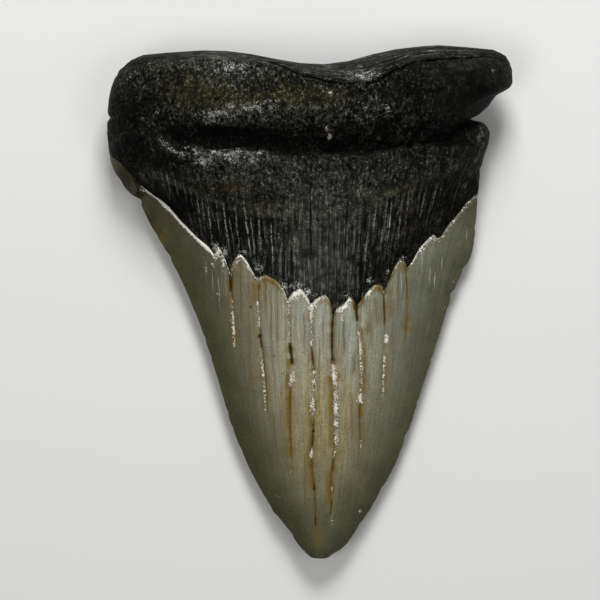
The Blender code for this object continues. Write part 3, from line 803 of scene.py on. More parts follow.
@dataclass
class Patch:
    """One face of the tooth on its grid: rows run from the tip to the top, columns left to right."""

    points: Array
    lines: Array
    side: Array
    section: Array
    place: Array
    plate: Array

    @property
    def x(self) -> Array:
        """X of every point."""
        return self.points[..., 0]

    @property
    def y(self) -> Array:
        """Y of every point."""
        return self.points[..., 1]

    def above(self, line: Line) -> Array:
        """How far each point lies above a line, along Y."""
        return self.y - self.lines[line]

    def within(self, *sections: Section) -> Array:
        """1 in the named sections and 0 elsewhere, as a column that broadcasts over a row."""
        return np.isin(self.section, sections).astype(float)

    def enamel(self) -> Array:
        """1 on the crown, easing to 0 down the enamel's wall."""
        return self.within(Section.CROWN) + self.within(Section.WALL) * (1 - ease(self.place, 0, 1))

    def basal_end(self, start: float, end: float) -> Array:
        """0 up to one place on the basal end, easing to 1 at another."""
        return self.within(Section.BASAL_END) * ease(self.place, start, end)

    def inland(self, start: float) -> Array:
        """1 on the face, easing to 0 at both sides and where both faces meet on the basal end."""
        return (1 - ease(np.abs(self.side), start, 1.0)) * (1 - self.basal_end(0.75, 1.0))

    def normals(self, outwards: int) -> Array:
        """Unit normals: cross product of the tangents along the rows and the columns.

        Args:
            outwards: 1 where the face looks up, -1 where it looks down.

        Returns:
            The normals, rows by columns.
        """
        across = np.gradient(self.points, axis=1)
        along = np.gradient(self.points, axis=0)
        normal = np.cross(across, along) * outwards
        return normal / np.maximum(np.linalg.norm(normal, axis=-1, keepdims=True), 1e-9)

    def grain(self) -> Array:
        """Coordinates along the grain: lines of equal u run down the tooth and draw together to the tip.

        U is x over a power of the tooth's width at that height and over a fan that opens to the sides of
        the root, and v is the mean length along the columns.

        Returns:
            The pair (u, v) of every point.
        """
        width = smooth_curve(GRAIN_WIDTH, self.y)
        fan = 1 + 0.14 * ease(self.y, 8.0, 46.0) * (self.x / 40) ** 2
        u = (self.x - 1.0) / (width**0.6 * fan)
        along = np.linalg.norm(np.diff(self.points, axis=0), axis=-1).mean(axis=1)
        v = np.concatenate([[0.0], np.cumsum(along)])
        return np.stack(np.broadcast_arrays(u, v[:, None]), -1)


@dataclass(frozen=True)
class ToothForm:
    """The tooth's large form: both faces worked out from outline, lines and heights."""

    outline: Outline = Outline()
    face_lines: FaceLines = FaceLines()
    heights: Heights = Heights()
    rows: tuple[int, ...] = (140, 4, 62, 10, 26, 25, 32)
    labial_step: int = 3
    calm_reach: int = 11
    lip_tear: Texture = Texture(Pattern.TORN_LINES, 0.35, 1.9)
    ridge_tear: Texture = Texture(Pattern.TORN_LINES, 0.25, 2.4)
    crown_power: Pair = (1.15, 1.0)
    root_power: float = 0.5

    def columns(self) -> ColumnPlan:
        """The plan of the columns."""
        return ColumnPlan(self.outline)

    def lingual_lines(self) -> Array:
        """Y of the lines on the lingual face at each column, one row for each Line.

        Returns:
            The lines, lines by columns.
        """
        plan, given = self.columns(), self.face_lines
        crossed = (given.border, given.lip, given.groove, given.crest, self.outline.top)
        border, lip, groove, crest, top = (plan.crossing(line) for line in crossed)
        ridge = top - smooth_curve(given.ridge_drop, plan.x(top[None])[0])
        tip = np.full_like(border, self.outline.left[0][0])
        lip_x = plan.x(lip[None])[0]
        torn = self.lip_tear.along(lip_x, 1.5)
        lip = lip + torn
        groove = groove + 0.6 * torn
        ridge = ridge + self.ridge_tear.along(lip_x, 6.5)
        return np.stack([tip, border, border + given.wall, lip, groove, crest, ridge, top])

    def labial_lines(self, lingual: Array) -> Array:
        """The same lines on the labial face: straight from side to side, the border arched.

        Args:
            lingual: y of the lines on the lingual face.

        Returns:
            Y of the lines on the labial face.
        """
        across = self.columns().share(np.zeros((1, lingual.shape[1])))[0]
        lines = lingual[:, :1] + (lingual[:, -1:] - lingual[:, :1]) * across
        lines[Line.BORDER : Line.LIP] += self.heights.labial_arch * 4 * across * (1 - across)
        lines[Line.TOP] = lingual[Line.TOP]
        return lines

    def grid(self, lines: Array) -> Patch:
        """Points of a face before it has heights.

        Rows are even between two lines. On the basal end they gather towards the top by a sine. The
        ragged part of the border, what it has beyond its running mean, fades within a few rows.

        Args:
            lines: y of the lines at each column.

        Returns:
            The face, flat at height 0.
        """
        section = np.repeat(np.arange(len(self.rows)), self.rows)
        place = np.concatenate([np.arange(1, count + 1) / count for count in self.rows])
        risen = np.where(section == Section.BASAL_END, np.sin(place * np.pi / 2) ** 1.3, place)[:, None]
        calm = lines.copy()
        kernel = np.ones(2 * self.calm_reach + 1) / (2 * self.calm_reach + 1)
        for line in (Line.BORDER, Line.WALL_FOOT):
            calm[line] = np.convolve(np.pad(lines[line], self.calm_reach, mode="edge"), kernel, "valid")
        ragged = lines - calm
        y = calm[section] + (calm[section + 1] - calm[section]) * risen
        below = (section == Section.CROWN)[:, None] * ease(risen, 0.8, 1.0)
        over = (section == Section.BOURRELET)[:, None] * (1 - ease(risen, 0.0, 0.3))
        wall = (section == Section.WALL)[:, None]
        y = y + ragged[Line.BORDER] * (below + wall * (1 - risen))
        y = y + ragged[Line.WALL_FOOT] * (over + wall * risen)
        plan = self.columns()
        side = 2 * plan.share(y) - 1
        x = plan.x(y) + self.outline.drawn_in(y, side, y - lines[Line.GROOVE])
        points = np.stack([x, y, np.zeros_like(x)], -1)
        return Patch(points, lines, side, section[:, None], place[:, None], plan.plates()[1])

    def top_line(self, lines: Array) -> Array:
        """Z of the line where both faces meet on the basal end.

        Args:
            lines: y of the lines at each column.

        Returns:
            Z at each column.
        """
        y = lines[Line.TOP]
        side = 2 * self.columns().share(y[None])[0] - 1
        edge = smooth_curve(self.heights.edge, y)
        return edge + (self.heights.top - edge) * self.heights.fullness(side, y, 1.2, self.root_power)

    def over_the_top(self, patch: Patch, z: Array, top_z: Array) -> Array:
        """Bring the basal end, which leaves the face level, round and down to the top line.

        Args:
            patch: the face.
            z: its heights without the bend.
            top_z: z of the line where both faces meet.

        Returns:
            The heights with the bend.
        """
        start = z[np.flatnonzero(patch.section[:, 0] == Section.BROW)[-1]]
        bent = top_z + (start - top_z) * np.clip(np.cos(patch.place * np.pi / 2), 0, 1) ** 1.1
        return np.where(patch.section == Section.BASAL_END, bent, z)

    def lingual(self, lines: Array) -> Patch:
        """The lingual face: edge height plus the middle's rise times the cross-section.

        Args:
            lines: y of the lines at each column.

        Returns:
            The face with its heights.
        """
        patch, high = self.grid(lines), self.heights
        x, y = patch.x, patch.y
        edge = smooth_curve(high.edge, y)
        full = high.fullness(patch.side, y, self.crown_power[0], self.root_power)
        lowered = patch.within(Section.LIP) * ease(patch.place, 0, 1)
        lowered = lowered + patch.within(Section.BULGE) * (1 - ease(patch.place, 0, 1))
        z = edge + (smooth_curve(high.lingual, y) - edge) * full
        z = z - lowered * smooth_curve(high.groove, x) * full
        z = z + spots(high.lumps, x, y) * np.minimum(1, 2 * full)
        z = z + patch.enamel() * high.enamel_lingual * np.minimum(1, 3 * full)
        patch.points[..., 2] = self.over_the_top(patch, z, self.top_line(lines))
        return patch

    def labial(self, lines: Array) -> Patch:
        """The labial face: flatter, with a low swelling under each lobe.

        Args:
            lines: y of the lingual face's lines.

        Returns:
            The face with its heights.
        """
        patch, high = self.grid(self.labial_lines(lines)), self.heights
        x, y = patch.x, patch.y
        edge = smooth_curve(high.edge, y)
        full = high.fullness(patch.side * np.abs(patch.side), y, self.crown_power[1], self.root_power)
        middle = smooth_curve(high.labial, y)
        for lobe_x, lobe_y in high.lobes:
            away = np.hypot(x - lobe_x, y - lobe_y) / (math.sqrt(2) * high.lobe_radius)
            middle = middle - high.lobe_bulge * bell(away)
        z = edge + (middle - edge) * full
        z = z - patch.enamel() * high.enamel_labial * full * ease(y, -20.0, 20.0)
        patch.points[..., 2] = self.over_the_top(patch, z, self.top_line(lines))
        return patch


@dataclass
class Surface:
    """What varies over one face: relief along the normal, and vectors that the finishes read."""

    relief: Array
    marks: Array
    tones: Array
    weave: Array


@dataclass(frozen=True)
class Zones:
    """Windows from 0 to 1 over the parts of the lingual face that have a look of their own."""

    root: Array
    basal: Array
    fibrous: Array
    strip: Array
    ledge: Array
    groove: Array
    right_lobe: Array
    middle: Array


@dataclass(frozen=True)
class LingualDetail:
    """Relief and marks of the lingual face, the one that is seen from above.

    Light is the enamel's painted light and shade, partly its own darker olive, as (place from the middle to
    the sides, light) and (y, light), and a line is (x, y).
    """

    # Painted light and shade of the enamel: bright in the middle, dimming to the sides and towards the tip
    light_across: Points = (
        (0, 1), (0.25, 0.96), (0.4, 0.69), (0.5, 0.54), (0.65, 0.32), (0.8, 0.16), (0.95, 0.03),
    )
    light_along: Points = (
        (-62, 0.1), (-54, 0.18), (-44, 0.37), (-34, 0.61), (-24, 0.83), (-12, 1), (0, 0.95), (25, 0.85),
    )
    fibre_top: Points = (
        (-44, 34), (-41.3, 32.8), (-34.4, 30), (-27.5, 26.8), (-20.6, 24), (-6.8, 21), (2, 21.5), (8.4, 21),
        (19.5, 25.7), (37.4, 34), (43, 38),
    )
    shade_top: Points = (
        (-38, 43), (-34, 43.8), (-20, 43.2), (-8, 42.6), (4, 43.8), (14, 44.5), (30, 44.5), (46, 47),
    )
    ledge: Row = (-21, 35.8, 9.5, 2.6, 1)
    smooth_middle: Row = (2.5, 11, 8.5, 11, 0.9)
    smooth_lobe: tuple[Pair, Pair] = ((26, 34), (44, 48))
    enamel_swell: Texture = Texture(Pattern.ENAMEL_WAVES, 0.07, 5, 8)
    enamel_hairs: Texture = Texture(Pattern.ENAMEL_GRAIN, 0.035, 0.9, 14, 1)
    enamel_dust: Texture = Texture(Pattern.ENAMEL_GRAIN, 0.015, 0.9, 0.9, 2)
    plate_bulge: float = 0.16
    plate_reach: float = 0.75
    gap_middle: Pair = (-42.4, 27.2)
    gap_slope: float = 1.7
    gap_left: Pair = (40.8, 41.4)
    gap_rows: Row = (22.5, 24, 29, 30)
    gap_depth: float = 1.6
    gap_widths: Pair = (1.2, 1.5)
    fibres: Textures = (Texture(Pattern.FIBRES, 0.2, 1.1, 14, 2), Texture(Pattern.FIBRES, 0.1, 0.6, 6, 1, 40))
    fibre_crumbs: Texture = Texture(Pattern.CRUMBS, 0.06, 0.9, 0.9, 2)
    basal_fibres: Texture = Texture(Pattern.FIBRES, 0.12, 0.9, 11, 2)
    lumps: Textures = (
        Texture(Pattern.LUMPS, 0.45, 6.5, 4.5, 1),
        Texture(Pattern.LUMPS, 0.26, 2.4, 2.2, 3, 30),
        Texture(Pattern.CRUMBS, 0.09, 0.95, 0.95, 2),
    )
    root_swell: Texture = Texture(Pattern.LUMPS, 0.3, 6, 7, 1, 60)
    pore_spacing: float = 1.9
    pore_size: float = 0.24
    pore_depth: float = 0.2
    rubble: Textures = (
        Texture(Pattern.LUMPS, 1.25, 1.8, 1.5, 3, 9),
        Texture(Pattern.CRUMBS, 0.75, 0.8, 0.7, 1),
    )
    crumbly_tear: Texture = Texture(Pattern.CRUMBLY_EDGE, 2.5, 6, 3, 2)
    shelf_tear: Texture = Texture(Pattern.SHELF_EDGE, 0.9, 3, layers=2)
    shelf_left: Row = (0, 8, 39, 42)
    shelf_right: Row = (8, 15, 35, 41)
    shelf_height: float = 0.5
    furrows: Texture = Texture(Pattern.GASHES, 1, 1.7, 7, 1)
    gash_reach: Row = (8, 13, 26, 34)
    gash_level: Pair = (42.5, 4.5)
    gash_height: float = 0.6
    crack_wander: Texture = Texture(Pattern.CRACK_WANDER, 0.25, 1.4, layers=1)
    crack_dark_depth: float = 0.45
    fill_tear: Texture = Texture(Pattern.CRACK_FILL, 0.45, 1.3, layers=2)
    tearing: Triple = (1.0, 0.7, 0.3)
    halo: float = 0.85
    halo_width: float = 1.1
    rust_patches: Texture = Texture(Pattern.RUST_PATCHES, 0.75, 0.9, 1.8)
    lip_rubble: Texture = Texture(Pattern.LIP_RUBBLE, 0.45, 1.6, 1.2, 2)
    lip_reach: Row = (-38.5, -35, -14, -6)
    enamel_tone: Texture = Texture(Pattern.ENAMEL_TONE, 0.03, 8, 12, 2)
    root_tone: Texture = Texture(Pattern.ROOT_TONE, 1, 4.5, 4.5)
    most: float = 1.3

    def zones(self, patch: Patch) -> Zones:
        """The face's zones, each a product of smooth steps and bells.

        Args:
            patch: the face.

        Returns:
            The zones.
        """
        x, y = patch.x, patch.y
        soft_start = 0.08 + 0.5 * ease(-x, 12, 26)
        basal = patch.within(Section.BASAL_END) * ease(patch.place / soft_start, 0.0, 1.0)
        bourrelet = patch.within(Section.BOURRELET) + patch.within(Section.LIP) * (1 - patch.place)
        root = (1 - patch.within(Section.CROWN, Section.WALL)) * np.ones_like(x)
        strip = bell((patch.above(Line.WALL_FOOT) - 1.8) / 2.2) * (ease(x, 12, 22) + ease(-x, 22, 30))
        lobe_x, lobe_y = self.smooth_lobe
        return Zones(
            root=root,
            basal=basal,
            fibrous=bourrelet * (1 - 0.6 * strip) * (1 - 0.75 * self.crumbly(x, y)),
            strip=strip * root,
            ledge=oval(self.ledge, x, y) * root,
            groove=self.shaded(patch) * root * (1 - basal),
            right_lobe=ease(x, *lobe_x) * ease(y, *lobe_y) * (1 - basal),
            middle=oval(self.smooth_middle, x, y) * root,
        )

    def shaded(self, patch: Patch) -> Array:
        """Window over the groove: from the lip up, to the level where the bulge turns to the light.

        Args:
            patch: the face.

        Returns:
            The window at each point.
        """
        from_lip = ease(patch.above(Line.LIP), -0.5, 0.9)
        over = patch.y - smooth_curve(self.shade_top, patch.x)
        return from_lip * (1 - ease(over, -1.5, 2.0)) * ease(patch.x, -38.5, -33)

    def crumbly(self, x: Array, y: Array) -> Array:
        """Window over the upper bourrelet, which is crumbly, and over its left end."""
        over = y - smooth_curve(self.fibre_top, x) + self.crumbly_tear.at(x, y)
        return np.maximum(ease(over, -4.0, 5.0), ease(-x, 36, 42))

    def shelf(self, x: Array, y: Array) -> tuple[Array, Array]:
        """The step down from the crumbly bone to the fibres on the left: its height and its lit brink.

        Args:
            x, y: the points.

        Returns:
            Both, from 0 to 1.
        """
        over = y - smooth_curve(self.fibre_top, x) + self.shelf_tear.along(x, 1.5)
        here = window(-x, *self.shelf_left) + 0.5 * window(x, *self.shelf_right)
        return here * (ease(over, -0.9, 0.5) - ease(over, 1.5, 9.0)), here * bell((over - 0.5) / 1.1)

    def gashes(self, x: Array, y: Array) -> Array:
        """Slanting furrows in the groove's right half, from -1 to 1.

        Args:
            x, y: the points.

        Returns:
            The furrows at each point.
        """
        level, reach = self.gash_level
        here = window(x, *self.gash_reach) * bell((y - level) / reach)
        return here * self.furrows.at(1.2 * x - 0.8 * y, x + 1.5 * y)

    def gap(self, x: Array, y: Array, width: float) -> Array:
        """Bell across the slanting gap that parts the left shoulder's sliver of enamel from the crown.

        Args:
            x, y: the points.
            width: half width of the bell.

        Returns:
            The bell at each point.
        """
        middle_x, middle_y = self.gap_middle
        across = bell((y - middle_y - self.gap_slope * (x - middle_x)) / width)
        return across * ease(-x, *self.gap_left) * window(y, *self.gap_rows)

    def crown_relief(self, patch: Patch) -> Array:
        """Enamel: plates a little convex between the cracks, grooves, and a soft unevenness.

        Args:
            patch: the face.

        Returns:
            The relief in millimetres.
        """
        x, y = patch.x, patch.y
        place = patch.plate[None]
        inner = (np.abs(patch.side) < self.plate_reach).astype(float)
        height = (
            self.plate_bulge * 4 * place * (1 - place) * inner * ease(y, -45.0, -8.0)
            + self.enamel_swell.at(x, y)
            + self.enamel_hairs.at(patch.grain()[..., 0], y)
            + self.enamel_dust.at(x, y)
        )
        for crack in PLATE_CRACKS:
            height = height - crack.groove(x, y)
        return height - self.gap_depth * self.gap(x, y, self.gap_widths[0])

    def root_relief(self, patch: Patch, zones: Zones) -> Array:
        """Root: fibres along the grain, pores, lumps, the rough ledge and the cracks of the ridge.

        Args:
            patch: the face.
            zones: the face's zones.

        Returns:
            The relief in millimetres.
        """
        x, y = patch.x, patch.y
        u, v = np.moveaxis(patch.grain(), -1, 0)
        pores = Lattice(Pattern.PORES).pits(x / self.pore_spacing, y / self.pore_spacing)
        bulge = zones.root * (1 - zones.fibrous) * (1 - zones.basal)
        bumps = rough(self.lumps, x, y) - self.pore_depth * bell(pores / self.pore_size)
        return (
            rough(self.fibres, u, v) * zones.fibrous
            + bumps * bulge * (1 - 0.6 * zones.right_lobe)
            + self.fibre_crumbs.at(x, y) * zones.fibrous
            + self.root_swell.at(x, y) * (1 - zones.basal)
            + self.basal_fibres.at(v, u) * zones.basal
            + rough(self.rubble, x, y) * zones.ledge
            + self.shelf_height * self.shelf(x, y)[0]
            + self.gash_height * self.gashes(x, y)
            - self.ridge_cracks(patch)
        )

    def ridge_cracks(self, patch: Patch) -> Array:
        """Depth of the cracks across the root, each a bell round its path, up to the turned-down end.

        Args:
            patch: the face.

        Returns:
            The depth in millimetres.
        """
        depth = np.zeros_like(patch.x)
        for path, width, deep in ROOT_CRACKS:
            depth = np.maximum(depth, deep * self.across(path, patch.x, patch.y, width))
        return depth * (1 - patch.basal_end(0.3, 0.6))

    def across(self, path: Points, x: Array, y: Array, width: float) -> Array:
        """Bell round a path given as (x, y), with soft ends.

        Args:
            path: its points from left to right.
            x, y: the points.
            width: half width of the bell.

        Returns:
            The bell at each point.
        """
        along, heights = np.array(path, float).T
        start, end = along[0], along[-1]
        away = (y - np.interp(x, along, heights) - self.crack_wander.along(x, 2.5)) / width
        return bell(away) * window(x, start - 0.8, start + 0.8, end - 0.8, end + 0.8)

    def in_cracks(self, patch: Patch) -> Amounts:
        """What fills the cracks between the plates, and a halo of rust round each.

        Args:
            patch: the face.

        Yields:
            A mark and its amount.
        """
        x, y = patch.x, patch.y
        for number, crack in enumerate(PLATE_CRACKS):
            uneven = 0.85 + self.fill_tear.along(y, 3.7 * number)
            low = crack.path[-1][1]
            halo = bell((x - crack.x_at(y)) / self.halo_width) * ease(y, low - 3, low + 5)
            yield Mark.RUST, self.halo * halo * np.clip(uneven - 0.35, 0, 1)
            yield from crack.filled(x, y, uneven, self.tearing)

    def in_blots(self, patch: Patch, blots: dict[Mark, Table]) -> Amounts:
        """Soft oval blots; those of rust are broken into patches.

        Args:
            patch: the face.
            blots: ovals by their mark.

        Yields:
            A mark and its amount.
        """
        x, y = patch.x, patch.y
        patchy = np.clip(0.55 + self.rust_patches.at(x, y), 0, 1)
        for mark, table in blots.items():
            for spot in table:
                yield mark, oval(spot, x, y) * (patchy if mark == Mark.RUST else 1)

    def at_border(self, patch: Patch) -> Amounts:
        """The enamel's edge: a white rim, and a brown one where the white is missing.

        Args:
            patch: the face.

        Yields:
            A mark and its amount.
        """
        x, to_border = patch.x, patch.above(Line.BORDER)
        rim = smooth_curve(RIM, x)
        yield Mark.CHALK, rim * bell((to_border + 0.2) / (0.9 + 0.35 * ease(-x, 16, 22)))
        browned = bell((to_border + 0.5) / 0.9) * np.clip(1 - rim, 0, 1)
        browned = browned * (1 - 0.8 * ease(x, 25, 31)) * (1 - 0.8 * ease(-x, 40.5, 43))
        yield Mark.RUST, browned
        yield Mark.PITCH, 0.5 * browned

    def on_root(self, patch: Patch) -> Amounts:
        """Chalk on the groove's lip at the left, and the dark of the cracks across the root, painted shade
        that is darker where a crack is deeper.

        Args:
            patch: the face.

        Yields:
            A mark and its amount.
        """
        x, y = patch.x, patch.y
        rim = bell((patch.above(Line.LIP) + 0.7) / 0.8) * window(x, *self.lip_reach)
        yield Mark.CHALK, rim * np.clip(0.3 + self.lip_rubble.at(x, y), 0, 0.56)
        # Painted shade in the ridge cracks, darker where they are deeper
        yield Mark.PITCH, self.ridge_cracks(patch) / self.crack_dark_depth

    def marks(self, patch: Patch, zones: Zones) -> Array:
        """Amounts of chalk, rust, and pitch with painted shade: at every point the most of all that lies
        there.

        Args:
            patch: the face.
            zones: the face's zones.

        Returns:
            The amounts, with the marks along the last axis.
        """
        crown = self.in_cracks(patch), self.in_blots(patch, CROWN_BLOTS), self.at_border(patch)
        root = self.in_blots(patch, ROOT_BLOTS), self.on_root(patch)
        amounts = np.zeros(patch.x.shape + (len(Mark),))
        for here, layers in ((1 - zones.root, crown), (zones.root, root)):
            for mark, amount in chain(*layers):
                amounts[..., mark] = np.maximum(amounts[..., mark], amount * here)
        # Painted shade in the slanting gap that parts the left sliver, carried as pitch
        gap = self.most * self.gap(patch.x, patch.y, self.gap_widths[1])
        amounts[..., Mark.PITCH] = np.maximum(amounts[..., Mark.PITCH], gap)
        return np.clip(amounts, 0, self.most)

    def crown_tones(self, patch: Patch) -> Array:
        """Warmth, paleness and light of the enamel: tan low down, blue-grey above, dim at the sides, where
        the light is painted shade over the enamel's own darker olive.

        Args:
            patch: the face.

        Returns:
            The three tones along the last axis.
        """
        x, y, side = patch.x, patch.y, patch.side
        off = np.abs(side) + self.enamel_tone.at(x, y)
        off = off - 0.1 * ease(side, 0.35, 0.75) + 0.03 * ease(-side, 0.5, 0.8)
        # Painted light and shade: the light tone dims to the sides and the tip, and on the left sliver
        light = smooth_curve(self.light_across, off) * smooth_curve(self.light_along, y)
        light = light * (1 - 0.9 * ease(-x, 41.0, 42.5) * ease(y, 24, 28))
        return np.stack([spots(WARM_SPOTS, x, y), spots(PALE_SPOTS, x, y), light], -1)

    def root_tones(self, patch: Patch, zones: Zones) -> Array:
        """Olive, wear with painted highlights, and darkening with painted shade, of the root.

        Args:
            patch: the face.
            zones: the face's zones.

        Returns:
            The three tones along the last axis.
        """
        x, y = patch.x, patch.y
        uneven = self.root_tone.at(x, y)
        # Painted highlight on the shelf's lit brink: more olive and wear, less darkening
        brink = self.shelf(x, y)[1]
        olive = spots(OLIVE_SPOTS, x, y) * (1 - 0.7 * zones.basal) + 1.1 * brink
        # Wear, with painted highlights on the bulge's crest and the ledge
        worn = spots(WEAR_AND_HIGHLIGHT_SPOTS, x, y) + 0.12 * uneven + 0.7 * brink
        # Darkening: painted shade in the groove, in a band above the enamel's wall at both sides and in the
        # gashes' furrows, lighter on their ridges; darker spots elsewhere
        shade_and_dark = spots(SHADE_AND_DARK_SPOTS, x, y) + 0.8 * zones.groove + 0.3 * zones.strip + 0.18 * uneven
        shade_and_dark = shade_and_dark * (1 - 0.8 * brink) - 0.5 * self.gashes(x, y)
        return np.stack([olive, worn, shade_and_dark], -1)

    def surface(self, patch: Patch) -> Surface:
        """Everything that varies over the lingual face.

        Args:
            patch: the face.

        Returns:
            The face's relief and vectors.
        """
        zones = self.zones(patch)
        root = zones.root > 0
        relief = np.where(root, self.root_relief(patch, zones), self.crown_relief(patch)) * patch.inland(0.97)
        tones = np.where(root[..., None], self.root_tones(patch, zones), self.crown_tones(patch))
        weave = np.stack([zones.fibrous, zones.basal, zones.right_lobe + zones.middle], -1)
        return Surface(relief, self.marks(patch, zones), np.clip(tones, 0, 1), weave)


@dataclass(frozen=True)
class LabialDetail:
    """Relief and marks of the labial face, which lies underneath: plainer, with long fine cracks."""

    crack_shares: tuple[float, ...] = (-0.52, -0.3, -0.14, 0.06, 0.22, 0.41, 0.6)
    crack_depth: float = 0.2
    crack_wander: Texture = Texture(Pattern.LABIAL_CRACKS, 0.03, 9, layers=2)
    enamel_swell: Texture = Texture(Pattern.LABIAL_WAVES, 0.08, 6, 9)
    fibres: Texture = Texture(Pattern.LABIAL_FIBRES, 0.16, 2.4, 12, 2)
    root_swell: Texture = Texture(Pattern.LABIAL_WAVES, 0.12, 3, 3)
    pore_spacing: float = 3.1
    pore_size: float = 0.22
    pore_depth: float = 0.25
    stains: Texture = Texture(Pattern.LABIAL_CRUMBS, 1, 2.2, 3.5, 2)
    warmth: Texture = Texture(Pattern.LABIAL_WAVES, 0.4, 12, 16, 2, 5)
    wear: Texture = Texture(Pattern.LABIAL_WAVES, 0.3, 7, 6, 3, 9)

    def crack(self, patch: Patch, number: int) -> Array:
        """Bell round one crack, which keeps its share of the width and wanders a little.

        Args:
            patch: the face.
            number: the crack's place among its fellows.

        Returns:
            The bell at each point.
        """
        wander = self.crack_wander.along(patch.y, 2.3 * number)
        half_width = 0.35 + 0.02 * number
        away = (patch.side - self.crack_shares[number] - wander) * 30 / half_width
        low = -46 + 9 * (number % 3)
        return bell(away / 2) * ease(patch.y, low, low + 12) * (1 - ease(patch.above(Line.BORDER), -1, 1))

    def relief(self, patch: Patch, crown: Array, cracks: Array) -> Array:
        """Soft waves and cracks on the enamel; fibres, waves and pores on the root.

        Args:
            patch: the face.
            crown: 1 on the enamel and 0 on the root.
            cracks: bells round the cracks.

        Returns:
            The relief in millimetres.
        """
        x, y = patch.x, patch.y
        u, v = np.moveaxis(patch.grain(), -1, 0)
        pores = Lattice(Pattern.LABIAL_CRUMBS).pits(x / self.pore_spacing, y / self.pore_spacing)
        enamel = self.enamel_swell.at(x, y) - self.crack_depth * cracks
        bone = self.fibres.at(u, v) + self.root_swell.at(x, y)
        bone = bone - self.pore_depth * bell(pores / self.pore_size)
        return np.where(crown > 0, enamel, bone) * patch.inland(0.95)

    def marks(self, patch: Patch, crown: Array, cracks: Array) -> Array:
        """Chalk on the border and in the cracks, rust in spots, and pitch between the spots.

        Args:
            patch: the face.
            crown: 1 on the enamel and 0 on the root.
            cracks: bells round the cracks.

        Returns:
            The amounts, with the marks along the last axis.
        """
        rim = bell((patch.above(Line.BORDER) + 0.1) / 0.7) * crown
        spotted = ease(self.stains.at(patch.x, patch.y), 0.6, 1.1)
        chalk = 0.75 * rim + 0.35 * cracks * spotted
        rust = np.clip(0.45 * cracks + 0.5 * spotted * crown + 0.2 * spotted, 0, 1)
        return np.stack([chalk, rust, 0.8 * cracks * (1 - spotted)], -1)

    def tones(self, patch: Patch, crown: Array) -> Array:
        """Enamel with painted shade at the sides and the tip, and evenly worn bone.

        Args:
            patch: the face.
            crown: 1 on the enamel and 0 on the root.

        Returns:
            The three tones along the last axis.
        """
        x, y = patch.x, patch.y
        # Painted shade: the enamel's light tone falls to the sides and the tip
        light = (1 - 0.7 * ease(np.abs(patch.side), 0.2, 1.0)) * (0.45 + 0.55 * ease(y, -63.0, -40.0))
        enamel = np.stack([0.5 + self.warmth.at(x, y), 0.35 * bell(y / 20), light], -1)
        worn = 0.35 + self.wear.at(x, y)
        bone = np.stack([0.3 * np.ones_like(x), worn, 0.3 - 0.3 * worn], -1)
        return np.where(crown[..., None] > 0, enamel, bone)

    def surface(self, patch: Patch) -> Surface:
        """Everything that varies over the labial face.

        Args:
            patch: the face.

        Returns:
            The face's relief and vectors.
        """
        crown = patch.within(Section.CROWN, Section.WALL) * np.ones_like(patch.x)
        basal = patch.within(Section.BASAL_END) * np.ones_like(patch.x)
        cracks = sum(self.crack(patch, number) for number in range(len(self.crack_shares)))
        marks, tones = self.marks(patch, crown, cracks), self.tones(patch, crown)
        weave = np.stack([(1 - crown) * 0.7 * (1 - basal), basal, np.zeros_like(basal)], -1)
        return Surface(self.relief(patch, crown, cracks), np.clip(marks, 0, 1.3), np.clip(tones, 0, 1), weave)


